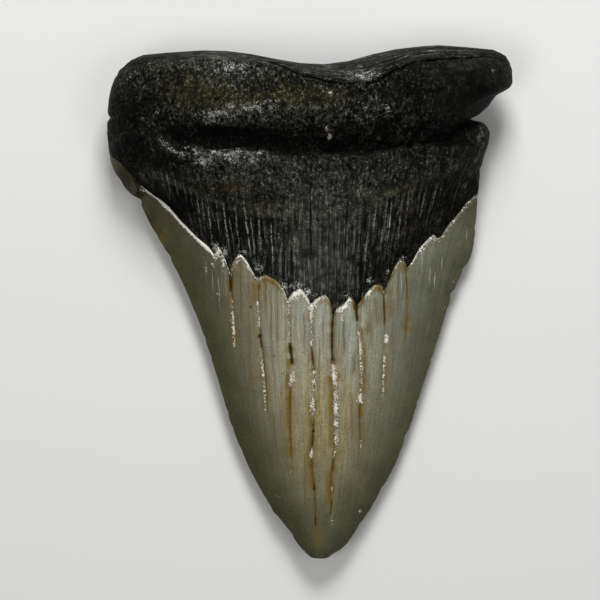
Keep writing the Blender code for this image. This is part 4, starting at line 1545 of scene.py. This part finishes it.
@dataclass
class Tooth:
    """The whole tooth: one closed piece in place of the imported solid, in two finishes."""

    name: str = "tooth_fossil"
    node: str = "tooth"
    body: str = "root"
    slot: str = "fossil_stone"
    calm_tip_rows: int = 6
    back_grain: float = 40.0
    form: ToothForm = field(default_factory=ToothForm)
    lingual_detail: LingualDetail = field(default_factory=LingualDetail)
    labial_detail: LabialDetail = field(default_factory=LabialDetail)

    def fit(self, patches: tuple[Patch, ...]) -> None:
        """Stretch both faces by the last hair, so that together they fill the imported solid's box.

        Args:
            patches: both faces, whose points change.
        """
        every = np.concatenate([patch.points.reshape(-1, 3) for patch in patches])
        low, high = every.min(axis=0), every.max(axis=0)
        box_low, box_high = (np.array(corner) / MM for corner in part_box(self.node))
        for patch in patches:
            patch.points = box_low + (patch.points - low) * (box_high - box_low) / (high - low)

    def numbers(self, rows: int, columns: int) -> tuple[Array, Array]:
        """Point numbers of both faces. They share the side columns and, thinned, the top row.

        Args:
            rows: rows of each face.
            columns: columns of the lingual face.

        Returns:
            The numbers on the lingual and on the labial face.
        """
        front = 1 + np.arange(rows * columns).reshape(rows, columns)
        back = front[:, :: self.form.labial_step].copy()
        inner = (rows - 1, back.shape[1] - 2)
        back[:-1, 1:-1] = 1 + rows * columns + np.arange(inner[0] * inner[1]).reshape(inner)
        return front, back

    def faces(self, front: Array, back: Array) -> tuple[Array, Array]:
        """Faces of the closed surface.

        The lingual grid's cells are quads. The labial grid's cells are too, turned over, apart from the
        last row, where each cell meets three cells of the lingual face. A fan of triangles closes the tip.
        The two corner cells of the top are split so that front and back never share a triangle.

        Args:
            front: point numbers of the lingual face.
            back: point numbers of the labial face.

        Returns:
            The corners of the quads and those of the triangles.
        """
        step = self.form.labial_step
        upper, lower = (
            np.stack([grid[:-1, :-1], grid[:-1, 1:], grid[1:, 1:], grid[1:, :-1]], -1)
            for grid in (front, back)
        )
        first, final = upper[-1, 0], upper[-1, -1]
        corners = np.array([first[[0, 1, 3]], first[[1, 2, 3]], final[[0, 1, 2]], final[[0, 2, 3]]])
        a, b = back[-2, :-1], back[-2, 1:]
        t0, t1, t2, t3 = (front[-1, i : front.shape[1] - step + i : step] for i in range(step + 1))
        quads = np.concatenate([
            upper[:-1].reshape(-1, 4),
            upper[-1, 1:-1],
            lower[:-1, :, ::-1].reshape(-1, 4),
            np.stack([t1, t2, b, a], -1),
        ])
        triangles = np.concatenate([
            corners,
            np.stack([t0, t1, a], -1),
            np.stack([t2, t3, b], -1),
            np.stack([np.zeros_like(front[0, 1:]), front[0, 1:], front[0, :-1]], -1),
            np.stack([np.zeros_like(back[0, 1:]), back[0, :-1], back[0, 1:]], -1),
        ])
        return quads, triangles

    def gather(self, front: Array, back: Array, tip: Array) -> Array:
        """Values of both faces in the order of the point numbers.

        Args:
            front: values on the lingual face.
            back: values on the labial face.
            tip: value at the tip.

        Returns:
            One row for each point.
        """
        inner = back[:-1, :: self.form.labial_step][:, 1:-1]
        parts = (part.reshape(-1, front.shape[-1]) for part in (tip, front, inner))
        return np.concatenate(list(parts))

    def relieved(self, patch: Patch, surface: Surface, outwards: int) -> Array:
        """Points of a face moved along its normals by the relief, which is calm at the tip."""
        calm_tip = ease(np.arange(len(patch.points)), 0, self.calm_tip_rows)[:, None, None]
        return patch.points + patch.normals(outwards) * surface.relief[..., None] * calm_tip

    def closed(self, front: Array, back: Array, tip: Array) -> bpy.types.Mesh:
        """The closed mesh, with enamel below the border and root above it.

        Args:
            front: points of the lingual face.
            back: points of the labial face.
            tip: the point that closes the tip.

        Returns:
            The mesh.
        """
        faces = self.faces(*self.numbers(*front.shape[:2]))
        mesh = bpy.data.meshes.new(self.name)
        points = self.gather(front, back, tip) * MM
        mesh.from_pydata(points.tolist(), [], [corners for group in faces for corners in group.tolist()])
        mesh.shade_smooth()
        enamel_rows = self.form.rows[Section.CROWN] + self.form.rows[Section.WALL]
        above = [np.broadcast_to(np.arange(len(grid))[:, None, None], grid.shape) for grid in (front, back)]
        row = self.gather(*above, np.full(front.shape[-1], -1))[:, 0]
        root = np.concatenate([row[group].min(axis=1) >= enamel_rows - 1 for group in faces])
        mesh.polygons.foreach_set("material_index", root.astype(np.int32))
        return mesh

    def build(self) -> bpy.types.Object:
        """Work out both faces, join them and put the piece in the scene.

        Returns:
            The tooth's object, at the origin, with its place in its mesh.
        """
        lines = self.form.lingual_lines()
        front, back = self.form.lingual(lines), self.form.labial(lines)
        self.fit((front, back))
        above, below = self.lingual_detail.surface(front), self.labial_detail.surface(back)
        tip = front.points[0].mean(axis=0)
        tip[1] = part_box(self.node)[0].y / MM
        under = self.relieved(back, below, -1)
        under[..., 2] = np.maximum(under[..., 2], 0.0)
        mesh = self.closed(self.relieved(front, above, 1), under, tip)
        layers = {
            "grain": [
                np.concatenate([patch.grain(), np.full(patch.side.shape + (1,), level)], -1)
                for patch, level in ((front, 0.0), (back, self.back_grain))
            ],
            "marks": (above.marks, below.marks),
            "tones": (above.tones, below.tones),
            "weave": (above.weave, below.weave),
        }
        for name, (upper, lower) in layers.items():
            values = self.gather(upper, lower, upper[0].mean(axis=0))
            attribute = mesh.attributes.new(name, "FLOAT_VECTOR", "POINT")
            attribute.data.foreach_set("vector", values.astype(np.float32).ravel())
        return put(self.name, mesh)

    def dress(self, piece: bpy.types.Object, finishes: tuple["Finish", ...]) -> None:
        """Give the piece its finishes: enamel below the border, root above it."""
        for finish in finishes:
            piece.data.materials.append(finish.material())

    def join_frame(self, piece: bpy.types.Object) -> None:
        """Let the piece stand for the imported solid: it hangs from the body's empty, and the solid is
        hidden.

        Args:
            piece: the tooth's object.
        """
        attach(piece, self.body)
        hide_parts(self.node)


@dataclass(frozen=True)
class Value:
    """A shader socket that takes part in sums as a number does: each sum adds a Math node."""

    graph: "Graph"
    socket: bpy.types.NodeSocket

    def with_other(self, other: "Number", operation: str) -> "Value":
        """A Math node on this value and another, in this order."""
        return self.graph.math(operation, self, other)

    __add__ = __radd__ = partialmethod(with_other, operation="ADD")
    __mul__ = __rmul__ = partialmethod(with_other, operation="MULTIPLY")
    __sub__ = partialmethod(with_other, operation="SUBTRACT")

    def __rsub__(self, other: "Number") -> "Value":
        """Difference from a number."""
        return self.graph.math("SUBTRACT", other, self)

    def __abs__(self) -> "Value":
        """Distance from 0."""
        return self.graph.math("ABSOLUTE", self)

    def ease(self, low: float, high: float) -> "Value":
        """Smooth step from 0 at low to 1 at high.

        Args:
            low: where it is 0.
            high: where it is 1.

        Returns:
            The eased value.
        """
        settings = {"interpolation_type": "SMOOTHSTEP"}
        inputs = {"Value": self, "From Min": low, "From Max": high}
        return Value(self.graph, self.graph.node("ShaderNodeMapRange", settings, inputs).outputs["Result"])


Number = float | Value


@dataclass(frozen=True)
class Noise:
    """A soft noise round 0.5, and the levels between which it is eased from 0 to 1.

    Its scale is the waves to a unit of the vector it is read at, alike or one number for each axis.
    """

    scale: float | Triple
    detail: float = 3.0
    rough: float = 0.55
    levels: Pair | None = None


class Graph:
    """The nodes of one material."""

    DRIFT = Noise((0.12, 0.34, 0.0), 5.0, 0.6)
    DRIFT_REACH = 1.1
    STROKE_TOP = 1.5
    STROKE_LOW = (1.0, 3.0)

    def __init__(self, name: str) -> None:
        """Start a material with its Principled shader.

        Args:
            name: the material's name.
        """
        self.material = bpy.data.materials.new(name)
        self.material.use_nodes = True
        self.tree = self.material.node_tree
        self.shader = self.tree.nodes["Principled BSDF"]

    def node(self, kind: str, settings: dict | None = None, inputs: dict | None = None) -> bpy.types.Node:
        """Add a node.

        Args:
            kind: the node's type.
            settings: properties of the node, set first.
            inputs: values or links of its sockets, by name or number.

        Returns:
            The node.
        """
        node = self.tree.nodes.new(kind)
        for name, value in (settings or {}).items():
            setattr(node, name, value)
        for name, value in (inputs or {}).items():
            self.feed(node.inputs[name], value)
        return node

    def feed(self, socket: bpy.types.NodeSocket, value: "Number | Colour") -> None:
        """Link a value to a socket, or set the socket to a number or a colour.

        Args:
            socket: the socket.
            value: what it gets.
        """
        if isinstance(value, Value):
            self.tree.links.new(value.socket, socket)
        elif isinstance(value, tuple) and socket.type == "RGBA":
            socket.default_value = (*value, 1.0)
        else:
            socket.default_value = value

    def math(self, operation: str, *values: "Number") -> Value:
        """A Math node on the values."""
        node = self.node("ShaderNodeMath", {"operation": operation}, dict(enumerate(values)))
        return Value(self, node.outputs["Value"])

    def mix(self, share: "Number", first: "Value | Colour", second: "Value | Colour") -> Value:
        """The first colour where share is 0, and the second where it is 1.

        Args:
            share: the second colour's share.
            first: the first colour.
            second: the second colour.

        Returns:
            The mixed colour.
        """
        settings = {"data_type": "RGBA", "clamp_factor": True}
        factor, a, b, result = 0, 6, 7, 2
        node = self.node("ShaderNodeMix", settings, {factor: share, a: first, b: second})
        return Value(self, node.outputs[result])

    def layered(self, colour: Value, layers: tuple[tuple["Number", Colour], ...]) -> Value:
        """A colour under layers of other colours, each given as its share and its colour."""
        return reduce(lambda below, layer: self.mix(layer[0], below, layer[1]), layers, colour)

    def scale(self, colour: Value, by: "Number") -> Value:
        """A colour or vector times a number, by Vector Math."""
        node = self.node("ShaderNodeVectorMath", {"operation": "SCALE"}, {"Vector": colour, "Scale": by})
        return Value(self, node.outputs["Vector"])

    def stretch(self, vector: Value, by: Triple) -> Value:
        """A vector times a vector, part by part."""
        node = self.node("ShaderNodeVectorMath", {"operation": "MULTIPLY"}, {0: vector, 1: by})
        return Value(self, node.outputs["Vector"])

    def place(self) -> Value:
        """Object coordinates in millimetres."""
        node = self.node("ShaderNodeTexCoord")
        return self.scale(Value(self, node.outputs["Object"]), 1 / MM)

    def attribute(self, name: str) -> Value:
        """A vector attribute of the mesh."""
        node = self.node("ShaderNodeAttribute", {"attribute_name": name})
        return Value(self, node.outputs["Vector"])

    def split(self, vector: Value) -> tuple[Value, Value, Value]:
        """The three parts of a vector.

        Args:
            vector: the vector.

        Returns:
            X, y and z.
        """
        node = self.node("ShaderNodeSeparateXYZ", inputs={"Vector": vector})
        x, y, z = (Value(self, output) for output in node.outputs)
        return x, y, z

    def noise(self, vector: Value, noise: Noise) -> Value:
        """A noise read at a vector, eased between its levels if it has any.

        Args:
            vector: where the noise is read.
            noise: its recipe.

        Returns:
            The noise.
        """
        scale = noise.scale
        if isinstance(scale, tuple):
            vector, scale = self.stretch(vector, scale), 1.0
        inputs = {"Vector": vector, "Scale": scale, "Detail": noise.detail, "Roughness": noise.rough}
        value = Value(self, self.node("ShaderNodeTexNoise", inputs=inputs).outputs["Fac"])
        return value.ease(*noise.levels) if noise.levels else value

    def strokes(self, place: Value, table: Table, *widths: float) -> list[Value]:
        """Thin strokes down the face, each nearly straight from one place to another.

        Args:
            place: object coordinates in millimetres.
            table: strokes as (x above, y above, x below, y below, strength).
            widths: distances from its middle at which a stroke ends.

        Returns:
            The sum of the strokes for each of the widths.
        """
        x, y, _ = self.split(place)
        x = x + self.noise(place, self.DRIFT) * self.DRIFT_REACH - self.DRIFT_REACH / 2
        sums = [x * 0.0 for _ in widths]
        before, after = self.STROKE_LOW
        for x_above, above, x_below, below, strength in table:
            slope = (x_above - x_below) / (above - below)
            away = abs(x - y * slope - (x_below - slope * below))
            past_top = y.ease(above - self.STROKE_TOP, above)
            here = y.ease(below - before, below + after) * (1 - past_top) * strength
            sums = [total + (1 - away.ease(0.0, width)) * here for total, width in zip(sums, widths)]
        return sums

    def bump(self, height: Value) -> Value:
        """A bump from a height in millimetres."""
        inputs = {"Height": height, "Distance": MM, "Strength": 1.0}
        return Value(self, self.node("ShaderNodeBump", inputs=inputs).outputs["Normal"])

    def close(self, constants: dict[str, float], links: dict[str, Value]) -> bpy.types.Material:
        """Set the shader's constant sockets, link those that vary, and return the material.

        Args:
            constants: numbers or colours by the name of their socket.
            links: values by the name of their socket.

        Returns:
            The material.
        """
        for name, value in {**constants, **links}.items():
            self.feed(self.shader.inputs[name], value)
        return self.material


@dataclass(frozen=True)
class Finish:
    """A finish of the tooth; each kind makes its own material."""

    name: str = "finish"

    def material(self) -> bpy.types.Material:
        """The finish as a Blender material."""
        return Graph(self.name).material


@dataclass(frozen=True)
class EnamelFinish(Finish):
    """Grey-olive enamel with painted shade at the sides, tan streaks, chalk in the cracks, rust stains and a
    satin sheen.
    """

    name: str = "enamel"
    # Olive at low light and grey at full light: the enamel's own darker olive, and its painted shade and
    # light
    olive: Colour = (0.047, 0.048, 0.02)
    grey: Colour = (0.36, 0.37, 0.278)
    blue: Colour = (0.345, 0.375, 0.355)
    tan: Colour = (0.32, 0.232, 0.08)
    rust: Colour = (0.17, 0.105, 0.018)
    # Dark brown of pitch, and of the painted shade in the gap by the left sliver
    pitch_and_shade: Colour = (0.03, 0.024, 0.011)
    chalk: Colour = (0.85, 0.82, 0.73)
    roughness: float = 0.42
    reflection: float = 0.12
    line_width: float = 0.2
    stain_width: float = 1.0
    clouds: Noise = Noise(0.2, 5.0, 0.6, (0.3, 0.7))
    grains: Noise = Noise(2.2, 4.0, 0.65, (0.32, 0.68))
    specks: Noise = Noise(1.5)
    streaks: Noise = Noise((0.7, 0.035, 3.0), 4.0, 0.6, (0.35, 0.65))
    hairs: Noise = Noise((1.6, 0.06, 5.0), 6.0, 0.75, (0.32, 0.64))
    contours: Noise = Noise((0.42, 0.014, 5.0), 2.0)

    def material(self) -> bpy.types.Material:
        """Tones mixed by the tooth's own attributes, broken up by noise along the grain.

        Returns:
            The material.
        """
        graph = Graph(self.name)
        place, grain = graph.place(), graph.attribute("grain")
        chalk, rust, pitch_and_shade = graph.split(graph.attribute("marks"))
        warm, pale, light = graph.split(graph.attribute("tones"))
        lines, browned = graph.strokes(place, HAIRLINES, self.line_width, self.stain_width)
        (scratches,) = graph.strokes(place, SCRATCHES, self.line_width)
        clouds, grains, specks = (graph.noise(place, one) for one in (self.clouds, self.grains, self.specks))
        along_grain = (self.streaks, self.hairs, self.contours)
        streaks, hairs, contour = (graph.noise(grain, one) for one in along_grain)
        crust = (chalk * 1.2 + grains * 1.1 - 1.1).ease(0.0, 0.4)
        # Fill: pitch in the cracks, dark hairlines, and painted shade in the gap by the left sliver
        fill_and_shade = (pitch_and_shade * 1.2 + grains * 0.35 - 0.5).ease(0.0, 0.7) + lines * (0.4 + grains * 0.3)
        patchy = clouds * 0.2 + grains * 0.6 + hairs * 0.5 + streaks * 0.3 + 0.05
        speckled = (specks + warm * 0.05).ease(0.6, 0.7) * clouds
        crazing = contour.ease(0.475, 0.5) * (1 - contour.ease(0.5, 0.525)) * light
        shade = clouds * 0.24 + (hairs * 0.5 - 0.45) * (light * 0.6 + 0.4) + grains * 0.34 + 0.83
        # Painted light and shade: the light tone mixes dark olive at the sides to lit grey in the middle
        colour = graph.layered(graph.mix(light, self.olive, self.grey), (
            (pale * light * streaks * 0.9, self.blue),
            (warm * light * (1.1 - streaks * 0.5), self.tan),
        ))
        colour = graph.layered(graph.scale(colour, shade), (
            (speckled * 0.8, self.rust),
            ((rust * 1.4 + browned * 0.5) * patchy, self.rust),
            (crazing * (0.15 + clouds * 0.35), self.pitch_and_shade),
            (fill_and_shade, self.pitch_and_shade),
            (scratches * (grains * 0.7 + 0.1), self.chalk),
            (crust * 0.95, self.chalk),
        ))
        height = hairs * 0.02 + grains * 0.02 + crust * 0.08 - fill_and_shade * 0.08
        roughness = clouds * 0.06 + grains * 0.06 + crust * 0.4 + fill_and_shade * 0.4 + self.roughness
        return graph.close(
            {"Specular IOR Level": self.reflection},
            {"Base Color": colour, "Roughness": roughness, "Normal": graph.bump(height)},
        )


@dataclass(frozen=True)
class RootFinish(Finish):
    """Black-brown fossil bone: light strands along the fibres, crumbs with painted glints, olive, and worn
    grey that also lays on painted highlights.
    """

    name: str = "root_bone"
    black: Colour = (0.0012, 0.0013, 0.0012)
    brown: Colour = (0.092, 0.09, 0.066)
    olive: Colour = (0.135, 0.12, 0.034)
    # Pale grey of wear, also laid on as painted highlights
    worn: Colour = (0.215, 0.218, 0.185)
    strand: Colour = (0.42, 0.42, 0.36)
    rust: Colour = (0.1, 0.06, 0.018)
    chalk: Colour = (0.6, 0.61, 0.56)
    roughness: float = 0.5
    reflection: float = 0.03
    strand_width: float = 0.23
    clouds: Noise = Noise(0.35, 5.0, 0.6, (0.3, 0.7))
    crumbs: Noise = Noise((1.5, 0.95, 1.2), 5.0, 0.66)
    grit: Noise = Noise(3.2, 2.0, 0.6)
    patches: Noise = Noise(0.8, 4.0, 0.65, (0.36, 0.64))
    strands: Noise = Noise((1.7, 0.16, 5.0), 5.0, 0.72)
    fibres: Noise = Noise((0.25, 1.7, 5.0), 5.0, 0.72)
    threads: Noise = Noise((1.9, 0.05, 5.0), 2.0, 0.6)

    def material(self) -> bpy.types.Material:
        """Dark tones by the tooth's own attributes, with strands along the grain and crumbs between.

        Each weave has dark gaps, where its noise is low, and light grains, where it is high.

        Returns:
            The material.
        """
        graph = Graph(self.name)
        place, grain = graph.place(), graph.attribute("grain")
        chalk, rust, pitch_and_shade = graph.split(graph.attribute("marks"))
        olive, worn, shade_and_dark = graph.split(graph.attribute("tones"))
        fibrous, basal, smooth = graph.split(graph.attribute("weave"))
        clouds, crumbs, grit, patches = (
            graph.noise(place, one) for one in (self.clouds, self.crumbs, self.grit, self.patches)
        )
        along_grain = (self.strands, self.fibres, self.threads)
        strands, fibres, threads = (graph.noise(grain, one) for one in along_grain)
        (light_strands,) = graph.strokes(place, STRANDS, self.strand_width)
        (splits,) = graph.strokes(place, SPLITS, self.strand_width)
        light_threads = threads.ease(0.6, 0.68) * fibrous * (1 - smooth) * (0.5 - shade_and_dark * 0.35)
        dark_threads = (1 - threads.ease(0.34, 0.42)) * fibrous
        broken = (grit * 0.7 + crumbs + patches * 0.25).ease(0.78, 1.12) * (1 - smooth * 0.4)
        weave = crumbs * (1 - fibrous) * (1 - basal) + strands * fibrous + fibres * basal
        gaps = weave.ease(0.36, 0.56)
        grains = (weave + grit * 0.5 - 0.25).ease(0.5, 0.68)
        calm = smooth + olive * 0.45
        lit = (gaps * 0.34 + grains * 0.66) * (1 - calm * 0.6) + calm * 0.23
        # Painted glints: pale flecks laid into the base colour, where the roughness is also lower
        glint = (weave + grit - 0.5).ease(0.6, 0.74) * (1 - calm * 0.85)
        crust = (chalk * 1.2 + grit.ease(0.35, 0.65) * 0.5 + patches * 0.5 - 0.95).ease(0.0, 0.35)
        # Worn grey is wear and painted highlight: it lifts the unevenness and lays pale grey over the colour
        uneven = (clouds * 0.8 + 0.25) * (patches * 0.7 + 0.5) + worn * 0.18
        bright = graph.layered(graph.mix(olive * (clouds * 0.5 + 0.5), self.brown, self.olive), (
            (worn * (clouds * 0.6 + 0.4), self.worn),
            (glint * 0.6, self.strand),
        ))
        # Painted shade: the darkening tone blackens the groove and the darker spots
        colour = graph.layered(graph.mix(lit * uneven * (1 - shade_and_dark * 0.88), self.black, bright), (
            (light_threads * patches + light_strands * fibrous * broken, self.strand),
            (dark_threads * 0.75 + splits * 0.85, self.black),
            (rust * clouds, self.rust),
            # Pitch, and painted shade in the ridge cracks
            (pitch_and_shade.ease(0.2, 0.9), self.black),
            (crust * 0.85, self.chalk),
        ))
        height = gaps * 0.1 + grains * (0.12 - smooth * 0.08) + crust * 0.1 - splits * 0.15
        roughness = clouds * 0.1 + self.roughness - glint * 0.15
        return graph.close(
            {"Specular IOR Level": self.reflection},
            {"Base Color": colour, "Roughness": roughness, "Normal": graph.bump(height)},
        )


@dataclass(frozen=True)
class FloorFinish(Finish):
    """Plain pale matt paper."""

    name: str = "floor_paper"
    colour: Colour = (0.76, 0.76, 0.75)
    roughness: float = 0.75
    clouds: Noise = Noise(0.02, 2.0)

    def material(self) -> bpy.types.Material:
        """One pale colour with a faint unevenness in its roughness.

        Returns:
            The material.
        """
        graph = Graph(self.name)
        uneven = graph.noise(graph.place(), self.clouds)
        return graph.close({"Base Color": self.colour}, {"Roughness": uneven * 0.1 + self.roughness})


@dataclass(frozen=True)
class Lamp:
    """A square soft light: its place in metres, the size of its side, its power and its colour."""

    name: str
    place: Triple
    size: float
    power: float
    colour: Colour = (1.0, 1.0, 1.0)

    def light(self, target: Vector) -> bpy.types.Object:
        """Put the lamp in the scene, turned to the target.

        Args:
            target: the place that the lamp faces.

        Returns:
            The lamp.
        """
        data = bpy.data.lights.new(self.name, "AREA")
        data.shape = "SQUARE"
        data.size = self.size
        data.energy = self.power
        data.color = self.colour
        lamp = put(self.name, data)
        lamp.location = self.place
        lamp.rotation_euler = (target - Vector(self.place)).to_track_quat("-Z", "Y").to_euler()
        return lamp


class Tone(Enum):
    """How the picture's light is turned into its colours."""

    PLAIN = "Standard"


@dataclass(frozen=True)
class Studio:
    """Pale floor, soft light from the root's side and from above, and a camera that looks straight down."""

    floor_side: float = 6.0
    lamps: tuple[Lamp, ...] = (
        Lamp("key_light", (0.04, 0.55, 0.45), 0.25, 4.2),
        Lamp("left_light", (-0.45, -0.2, 1.05), 0.5, 3.0),
        Lamp("right_light", (0.5, -0.15, 0.9), 0.5, 1.6),
    )
    world: Colour = (0.16, 0.16, 0.16)
    lens: float = 250.0
    sensor: float = 36.0
    field: float = 0.15
    middle: Pair = (-0.002375, 0.00075)
    focus_height: float = 0.008

    def floor(self) -> bpy.types.Object:
        """A wide square of floor, a grid of points at height 0, just under the tooth.

        Returns:
            The floor.
        """
        x, y = np.meshgrid([-0.5, 0.5], [-0.5, 0.5])
        points = np.stack([x * self.floor_side, y * self.floor_side, np.zeros_like(x)], -1).reshape(-1, 3)
        mesh = bpy.data.meshes.new("floor")
        mesh.from_pydata(points.tolist(), [], [(0, 1, 3, 2)])
        mesh.materials.append(FloorFinish().material())
        floor = put("floor", mesh)
        return floor

    def surroundings(self) -> None:
        """Even pale grey all round, and plain colours in the picture."""
        world = bpy.data.worlds.new("studio")
        world.use_nodes = True
        world.node_tree.nodes["Background"].inputs["Color"].default_value = (*self.world, 1.0)
        bpy.context.scene.world = world
        bpy.context.scene.view_settings.view_transform = Tone.PLAIN.value

    def camera(self) -> bpy.types.Object:
        """A long lens straight above, as far away as its field at the tooth's height needs.

        Returns:
            The camera.
        """
        data = bpy.data.cameras.new("camera")
        data.lens = self.lens
        data.sensor_width = self.sensor
        distance = self.field * self.lens / self.sensor
        data.clip_end = 20.0
        camera = put("camera", data)
        camera.location = (*self.middle, self.focus_height + distance)
        bpy.context.scene.camera = camera
        return camera

    def build(self) -> None:
        """Set up floor, light and camera."""
        self.floor()
        self.surroundings()
        self.camera()
        target = Vector((*self.middle, self.focus_height))
        for lamp in self.lamps:
            lamp.light(target)


def main() -> None:
    """Build the tooth and its studio."""
    logging.basicConfig(level=logging.INFO, format="%(name)s: %(message)s")
    tooth = Tooth()
    piece = tooth.build()
    tooth.dress(piece, (EnamelFinish(), RootFinish()))
    tooth.join_frame(piece)
    LOG.info("%s: %d points, %d faces", piece.name, len(piece.data.vertices), len(piece.data.polygons))
    Studio().build()


if __name__ == "__main__":
    main()
